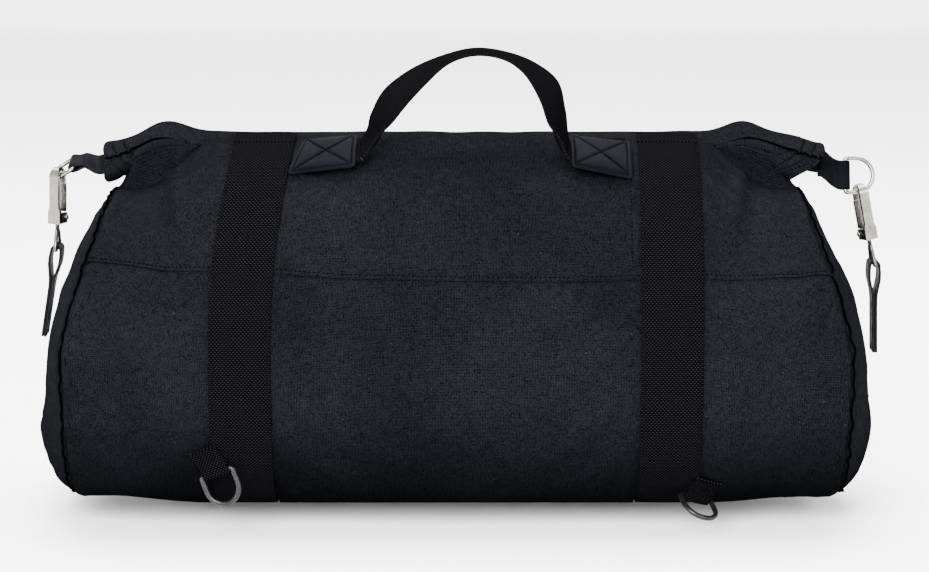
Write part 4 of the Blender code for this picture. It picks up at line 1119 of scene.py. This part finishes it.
def ring_line(middle, bar_way, out_way, bar, depth, bow=60):
    """A D: a straight bar, two legs as long as the depth less half the bar, and a half round bow."""
    radius = bar / 2
    leg = depth - radius
    turn = np.pi * np.linspace(0, 1, bow)
    arc = middle + bar_way * (np.cos(turn)[:, None] * radius) + out_way * (leg + np.sin(turn) * radius)[:, None]
    bar_points = middle + bar_way * (np.linspace(-1, 1, 30)[:, None] * radius)
    steps = np.linspace(0, 1, 8)[1:-1, None]
    first, last = bar_points[-1], bar_points[0]
    loop = np.vstack([bar_points, first + (arc[0] - first) * steps, arc, arc[-1] + (last - arc[-1]) * steps])
    for _ in range(3):
        loop = 0.5 * loop + 0.25 * (np.roll(loop, 1, 0) + np.roll(loop, -1, 0))
    return loop


# Each side's metal: middles of bars and pins, and the ways they lie, hang and stand
HARDWARE = {
    "left": {"eye": (-0.339, 0.0, 0.21), "up": (0.017452, 0.0, 0.999848), "pin": (-0.336626, 0.005262, 0.236263),
             "pin_way": (0.93955, -0.34202, -0.0164), "ring": (-0.32492, 0.011148, 0.281139),
             "ring_way": (0.0, 0.97437, 0.224951), "ring_out": (-0.855937, 0.116318, -0.503827),
             "low": (-0.197, -0.126742, 0.042746), "low_way": (0.891007, -0.276185, 0.360318),
             "low_out": (0.357749, -0.061496, -0.93179)},
    "right": {"eye": (0.3535, 0.0, 0.197), "up": (-0.190809, 0.0, 0.981627), "pin": (0.346602, 0.005262, 0.222451),
              "pin_way": (0.922428, 0.34202, 0.179302), "ring": (0.328804, 0.003501, 0.271902),
              "ring_way": (0.0, 0.275637, 0.961262), "ring_out": (0.999453, 0.031778, -0.009112),
              "low": (0.198, -0.098123, 0.014973), "low_way": (0.891007, 0.368353, -0.265374),
              "low_out": (0.233822, -0.873384, -0.427233)}}
# Tilts in degrees; each low loop's place along the bag, angle round it and turn; and each tab's wave
TAB_ROOT_TILT = {"left": 32.0, "right": 66.0}
STRIP_TILT = {"left": 9.0, "right": 1.0}
LOW_PLACE = {"left": (-0.197, -38.0, 27.0), "right": (0.198, -53.4, -27.0)}
TAB_WAVE = {"left": lambda t: 0.0022 * np.sin(2 * np.pi * (t * 1.25 - 0.1)),
            "right": lambda t: 0.0012 * np.sin(2 * np.pi * (t * 1.2 - 0.25))}


def ring_pieces():
    """The roll rings in bright nickel and the low rings in black, each a round wire carried round its D."""
    for word in SIDES:
        held = {k: np.array(v) for k, v in HARDWARE[word].items()}
        line = ring_line(held["ring"], held["ring_way"], held["ring_out"], 0.0295, 0.0235)
        tube(word + "_roll_ring_wire", line, 0.0018, NICKEL, body=word + "_ring",
                     replaces=[word + "_roll_ring"])
        line = ring_line(held["low"], held["low_way"], held["low_out"], 0.0290, 0.027)
        tube(word + "_low_ring_wire", line, 0.0022, BLACK_STEEL, body=word + "_low",
                     replaces=[word + "_low_ring"])


def tab_and_strip_pieces():
    """The tabs that come out of the roll and the strips that hold the swivel eyes, with a stitched line across each."""
    for word, side in SIDES.items():
        held = {k: np.array(v) for k, v in HARDWARE[word].items()}
        root = roll_middle(np.array(side * ROLL_REACH[word])) - np.array([side * 0.004, 0.0, 0.0])
        flat = np.radians(TAB_ROOT_TILT[word])
        root_way = np.array([0.0, np.cos(flat), np.sin(flat)])
        run = leather_fold(word + "_tab_leather", held["ring"], root, held["ring_way"], root_way, 0.0245, 0.0022,
                           0.009, word + "_roll_tab", TAB_WAVE[word])
        cross_stitches(word + "_tab_stitches", run, 0.0105, 0.0245)
        tilt = np.radians(STRIP_TILT[word])
        down = np.array([side * np.sin(tilt), 0.0, -np.cos(tilt)])
        width = np.array([0.0, 1.0, 0.0])
        run = leather_fold(word + "_strip_leather", held["eye"], held["eye"] + down * 0.075, width, width, 0.025,
                           0.0020, 0.016, word + "_hook_strap", bulge=0.0026)
        cross_stitches(word + "_strip_stitches", run, 0.019, 0.025)
        cross_stitches(word + "_strip_low_stitches", run, 0.070, 0.025)


def cross_stitches(name, run, reach, width):
    """A line of stitches straight across a folded strip, on both faces, at a distance from its bar."""
    out, middle, width_way, face = run
    half = len(out) // 2
    for tag, part, sign in (("a", slice(0, half), 1.0), ("b", slice(half, None), -1.0)):
        index = np.arange(len(out))[part][np.argmin(np.abs(out[part] - reach))]
        across = np.linspace(-0.5, 0.5, 12)[:, None] * (width - 0.005)
        line = middle[index] + width_way[index] * across + face[index] * sign * 0.00115
        stitches(f"{name}_{tag}", line, np.repeat(face[index][None] * sign, 12, 0), THREAD, pitch=0.0026,
                 length=0.0020, radius=0.00034)


def low_loop_pieces():
    """Thin webbing folded round each low ring's bar and laid on the barrel, turned across the strap."""
    for word in SIDES:
        x, angle, tilt = LOW_PLACE[word]
        turn = np.radians(tilt)
        lift = WEBBING + 0.0009 + LOOP_WALL + 0.0004 + 0.0022
        lying = WEBBING + 0.0009 + LOOP_WALL + 0.00015
        path = fold_path(LOOP_WALL, 0.0026, 0.024, 0.009, lying - lift)
        out, across = path[:, :1], path[:, 1:]
        wide = 0.0235 * np.linspace(-0.5, 0.5, 21)[None]
        place_x = x + wide * np.cos(turn) - out * np.sin(turn)
        up = wide * np.sin(turn) + out * np.cos(turn)
        degree = np.linalg.norm(barrel_point(x, angle + 1.0) - barrel_point(x, angle - 1.0)) / 2
        points = barrel_point(place_x, angle + up / degree, lift + across + 0 * up)
        arc = arc_along(points[:, 10:11], 0)
        uv = np.stack([wide + 0 * arc, arc + 0 * wide], -1)
        piece = add_sheet(word + "_loop_webbing", points, LOOP_WALL, [STRAP_WEBBING], offset=0.0, uv=uv,
                          bevel=0.0004)
        place(piece, "bag", [word + "_low_loop"])
        for row, reach in (("near", 0.010), ("far", 0.0215)):
            w = 0.0205 * np.linspace(-0.5, 0.5, 14)
            at_x, at_up = x + w * np.cos(turn) - reach * np.sin(turn), w * np.sin(turn) + reach * np.cos(turn)
            at_angle = angle + at_up / degree
            top = lying + 0.00095 + 0.0008
            stitches(f"{word}_loop_{row}_stitches", barrel_point(at_x, at_angle, top + 0 * at_x),
                     barrel_out(at_x, at_angle), THREAD, pitch=0.0026, length=0.0020, radius=0.00034)


WAIST_CUTS = (0.0105, 0.0115, 0.013, 0.0145, 0.038, 0.0405, 0.0425, 0.0440, 0.0452, 0.0462, 0.0470)


def waist(held):
    """Narrows a hook's width up its height: full across the ears, 76 per cent up the spine, and round at the top."""
    up, across = unit(held["up"]), unit(held["pin_way"])
    base = held["eye"] + up * 0.0215

    def shape(work):
        """Cuts the mesh across at each height, then moves its points towards the pin's middle plane."""
        for height in WAIST_CUTS:
            cut = [*work.verts, *work.edges, *work.faces]
            middle, way = Vector(base + up * height), Vector(up)
            bmesh.ops.bisect_plane(work, geom=cut, plane_co=middle, plane_no=way, dist=1e-6)
        points = np.array([v.co for v in work.verts])
        rise = (points - base) @ up
        wide = (points - held["pin"]) @ across
        share = 1 - 0.24 * smoothstep(rise, 0.0100, 0.0140)
        share = share * np.sqrt(np.clip(1 - (np.clip(rise - 0.0395, 0, 1) / 0.0100) ** 2, 0.12, 1))
        for vert, point in zip(work.verts, points + ((share - 1) * wide)[:, None] * across):
            vert.co = point

    return shape


def give(node, material):
    """Gives a carried-over node its material."""
    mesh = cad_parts[node].data
    mesh.materials.clear()
    mesh.materials.append(material)


def hook_pieces():
    """The snap hooks' and gates' nodes with rounded edges, and domed heads on their gate pins."""
    for word in SIDES:
        held = {k: np.array(v) for k, v in HARDWARE[word].items()}
        for part, width, material, body in (("hook_body", 0.0007, NICKEL, "hook"),
                                            ("hook_gate", 0.0004, NICKEL, "gate")):
            shape = waist(held) if part == "hook_body" else None
            softened(f"{word}_{part}", width, material, f"{word}_{body}", shape=shape)
        for node, material in (("gate_pin", NICKEL), ("gate_spring", DARK_NICKEL), ("swivel_eye", DARK_NICKEL)):
            give(f"{word}_{node}", material)
        profile = [(0.0, -0.0004), (0.0021, -0.0004), (0.0024, 0.0), (0.0023, 0.0006), (0.0016, 0.0011),
                   (0.0007, 0.0013), (0.0, 0.0010)]
        for tag, sign in (("front", 1.0), ("rear", -1.0)):
            axis = held["pin_way"] * sign
            turned(f"{word}_pin_head_{tag}", held["pin"] + axis * 0.0061, axis, profile, NICKEL,
                           word + "_hook")


def seam_stitches(skin):
    """Rows of thread along the front and back long seams, and down the upright edge beside the right strap."""
    share = np.linspace(-0.985, 0.985, 900)
    for name, back in (("front_seam_stitches", False), ("back_seam_stitches", True)):
        angle = long_seam_angle(share, back) + (-1 if back else 1) * np.degrees(0.003 / HALF_DEPTH)
        x = share * (seam_place(angle) + SEAM_LAP)
        hidden = strap_cover(x, angle, -0.008) > 0.5
        runs = np.split(np.arange(len(x)), np.flatnonzero(np.diff(hidden.astype(int))) + 1)
        for index, run in enumerate(runs):
            if not hidden[run[0]] and len(run) > 20:
                points, outs = skin.at(x[run], angle[run], 0.00035)
                stitches(f"{name}_{index}", points, outs, SEAM_THREAD, pitch=0.0038, length=0.0025,
                         radius=0.00055)
    angle = np.linspace(60.0, 21.5, 200)
    points, outs = skin.at(0.1425 + 0 * angle, angle, 0.0004)
    stitches("upright_stitches", points, outs, SEAM_THREAD, pitch=0.0038, length=0.0025, radius=0.00045)


def end_seam_welts():
    """Two round tapes along each end seam. A thin one lies in the groove, drawn in and out a little by its stitches;
    a thicker one under it fills the turned-in edges' gap. Each is a circle carried round the barrel's section."""
    angle = np.linspace(90.0, -270.0, 900, endpoint=False)
    for word, side in SIDES.items():
        beat = 0.0004 * undulation(angle * 0.0026, 0 * angle, 5, 30, 80, 70 + side)
        beat = beat * smoothstep(np.abs(angle + 90.0), 180.0, 172.0)
        for name, along, lift, radius, material, wave in (
                ("welt", 0.0009, -0.0020, 0.00110, SEAM_THREAD, beat),
                ("binding", 0.0012, -0.0050, 0.0029, BINDING, 0 * beat)):
            points = barrel_point(side * (seam_place(angle) + along), angle, lift + wave)
            points[:, 2] = np.maximum(points[:, 2], radius + 0.0003)
            points[:, 0] += 2 * side * wave
            tube(f"{word}_end_{name}", points, radius, material, sides=8)


skin = Skin()
canvas_panels(skin)
end_skins()
rolled_mouth()
strap_pieces()
handle_webbing()
handle_patches()
ring_pieces()
tab_and_strip_pieces()
low_loop_pieces()
hook_pieces()
seam_stitches(skin)
end_seam_welts()
give("mouth_batten", BATTEN)


# Floor, light and camera

def studio():
    """A pale floor and backdrop in one sweep, a large soft light above, one at each side, and a plain white sky."""
    profile = np.array([(-6.0, 0.0), (3.0, 0.0), (4.2, 0.18), (5.0, 0.8), (5.4, 1.8), (5.5, 6.0)])
    line = curve_through(profile, 60)
    across = np.linspace(-9.0, 9.0, 3)
    points = np.stack([np.repeat(across[None], 60, 0), np.repeat(line[:, :1], 3, 1),
                       np.repeat(line[:, 1:], 3, 1)], -1)
    finish = Finish("pale_floor")
    grain = finish.noise(3.0, 2.0, 0.5)
    finish.set(Base_Color=finish.blend(grain, (0.93, 0.93, 0.93), (0.95, 0.95, 0.95)), Roughness=0.9)
    floor = add_mesh("pale_sweep", points, grid_faces(60, 3), [finish.material])
    world = bpy.data.worlds.new("studio")
    bpy.context.scene.world = world
    world.use_nodes = True
    world.node_tree.nodes["Background"].inputs[0].default_value = (1.0, 1.0, 1.0, 1.0)
    world.node_tree.nodes["Background"].inputs[1].default_value = 2.1
    for name, at, look, size, power in (("key", (-0.8, -2.9, 1.7), (0, 0, 0.15), 2.0, 530.0),
                                        ("fill", (2.2, -2.2, 1.2), (0, 0, 0.15), 1.5, 110.0),
                                        ("top", (0.0, 0.6, 3.0), (0, 0, 0.1), 3.0, 560.0)):
        data = bpy.data.lights.new(name, "AREA")
        data.size, data.energy = size, power
        light = bpy.data.objects.new(name, data)
        bpy.context.scene.collection.objects.link(light)
        aim(light, at, look)


def aim(made, at, look):
    """Puts a light or camera at a place and turns it to look at another, with its top up."""
    made.location = at
    made.rotation_euler = (Vector(look) - Vector(at)).to_track_quat("-Z", "Y").to_euler()


def camera():
    """3 m in front and 9 degrees up, with a lens that covers 0.79 m of the bag's plane."""
    tilt = np.radians(9.0)
    target = np.array([0.0064, 0.0, 0.1775])
    at = target + 3.0 * np.array([0.0, -np.cos(tilt), np.sin(tilt)])
    data = bpy.data.cameras.new("front_camera")
    data.sensor_width, data.lens = 36.0, 136.76
    made = bpy.data.objects.new("front_camera", data)
    bpy.context.scene.collection.objects.link(made)
    aim(made, at, target)
    bpy.context.scene.camera = made


studio()
camera()
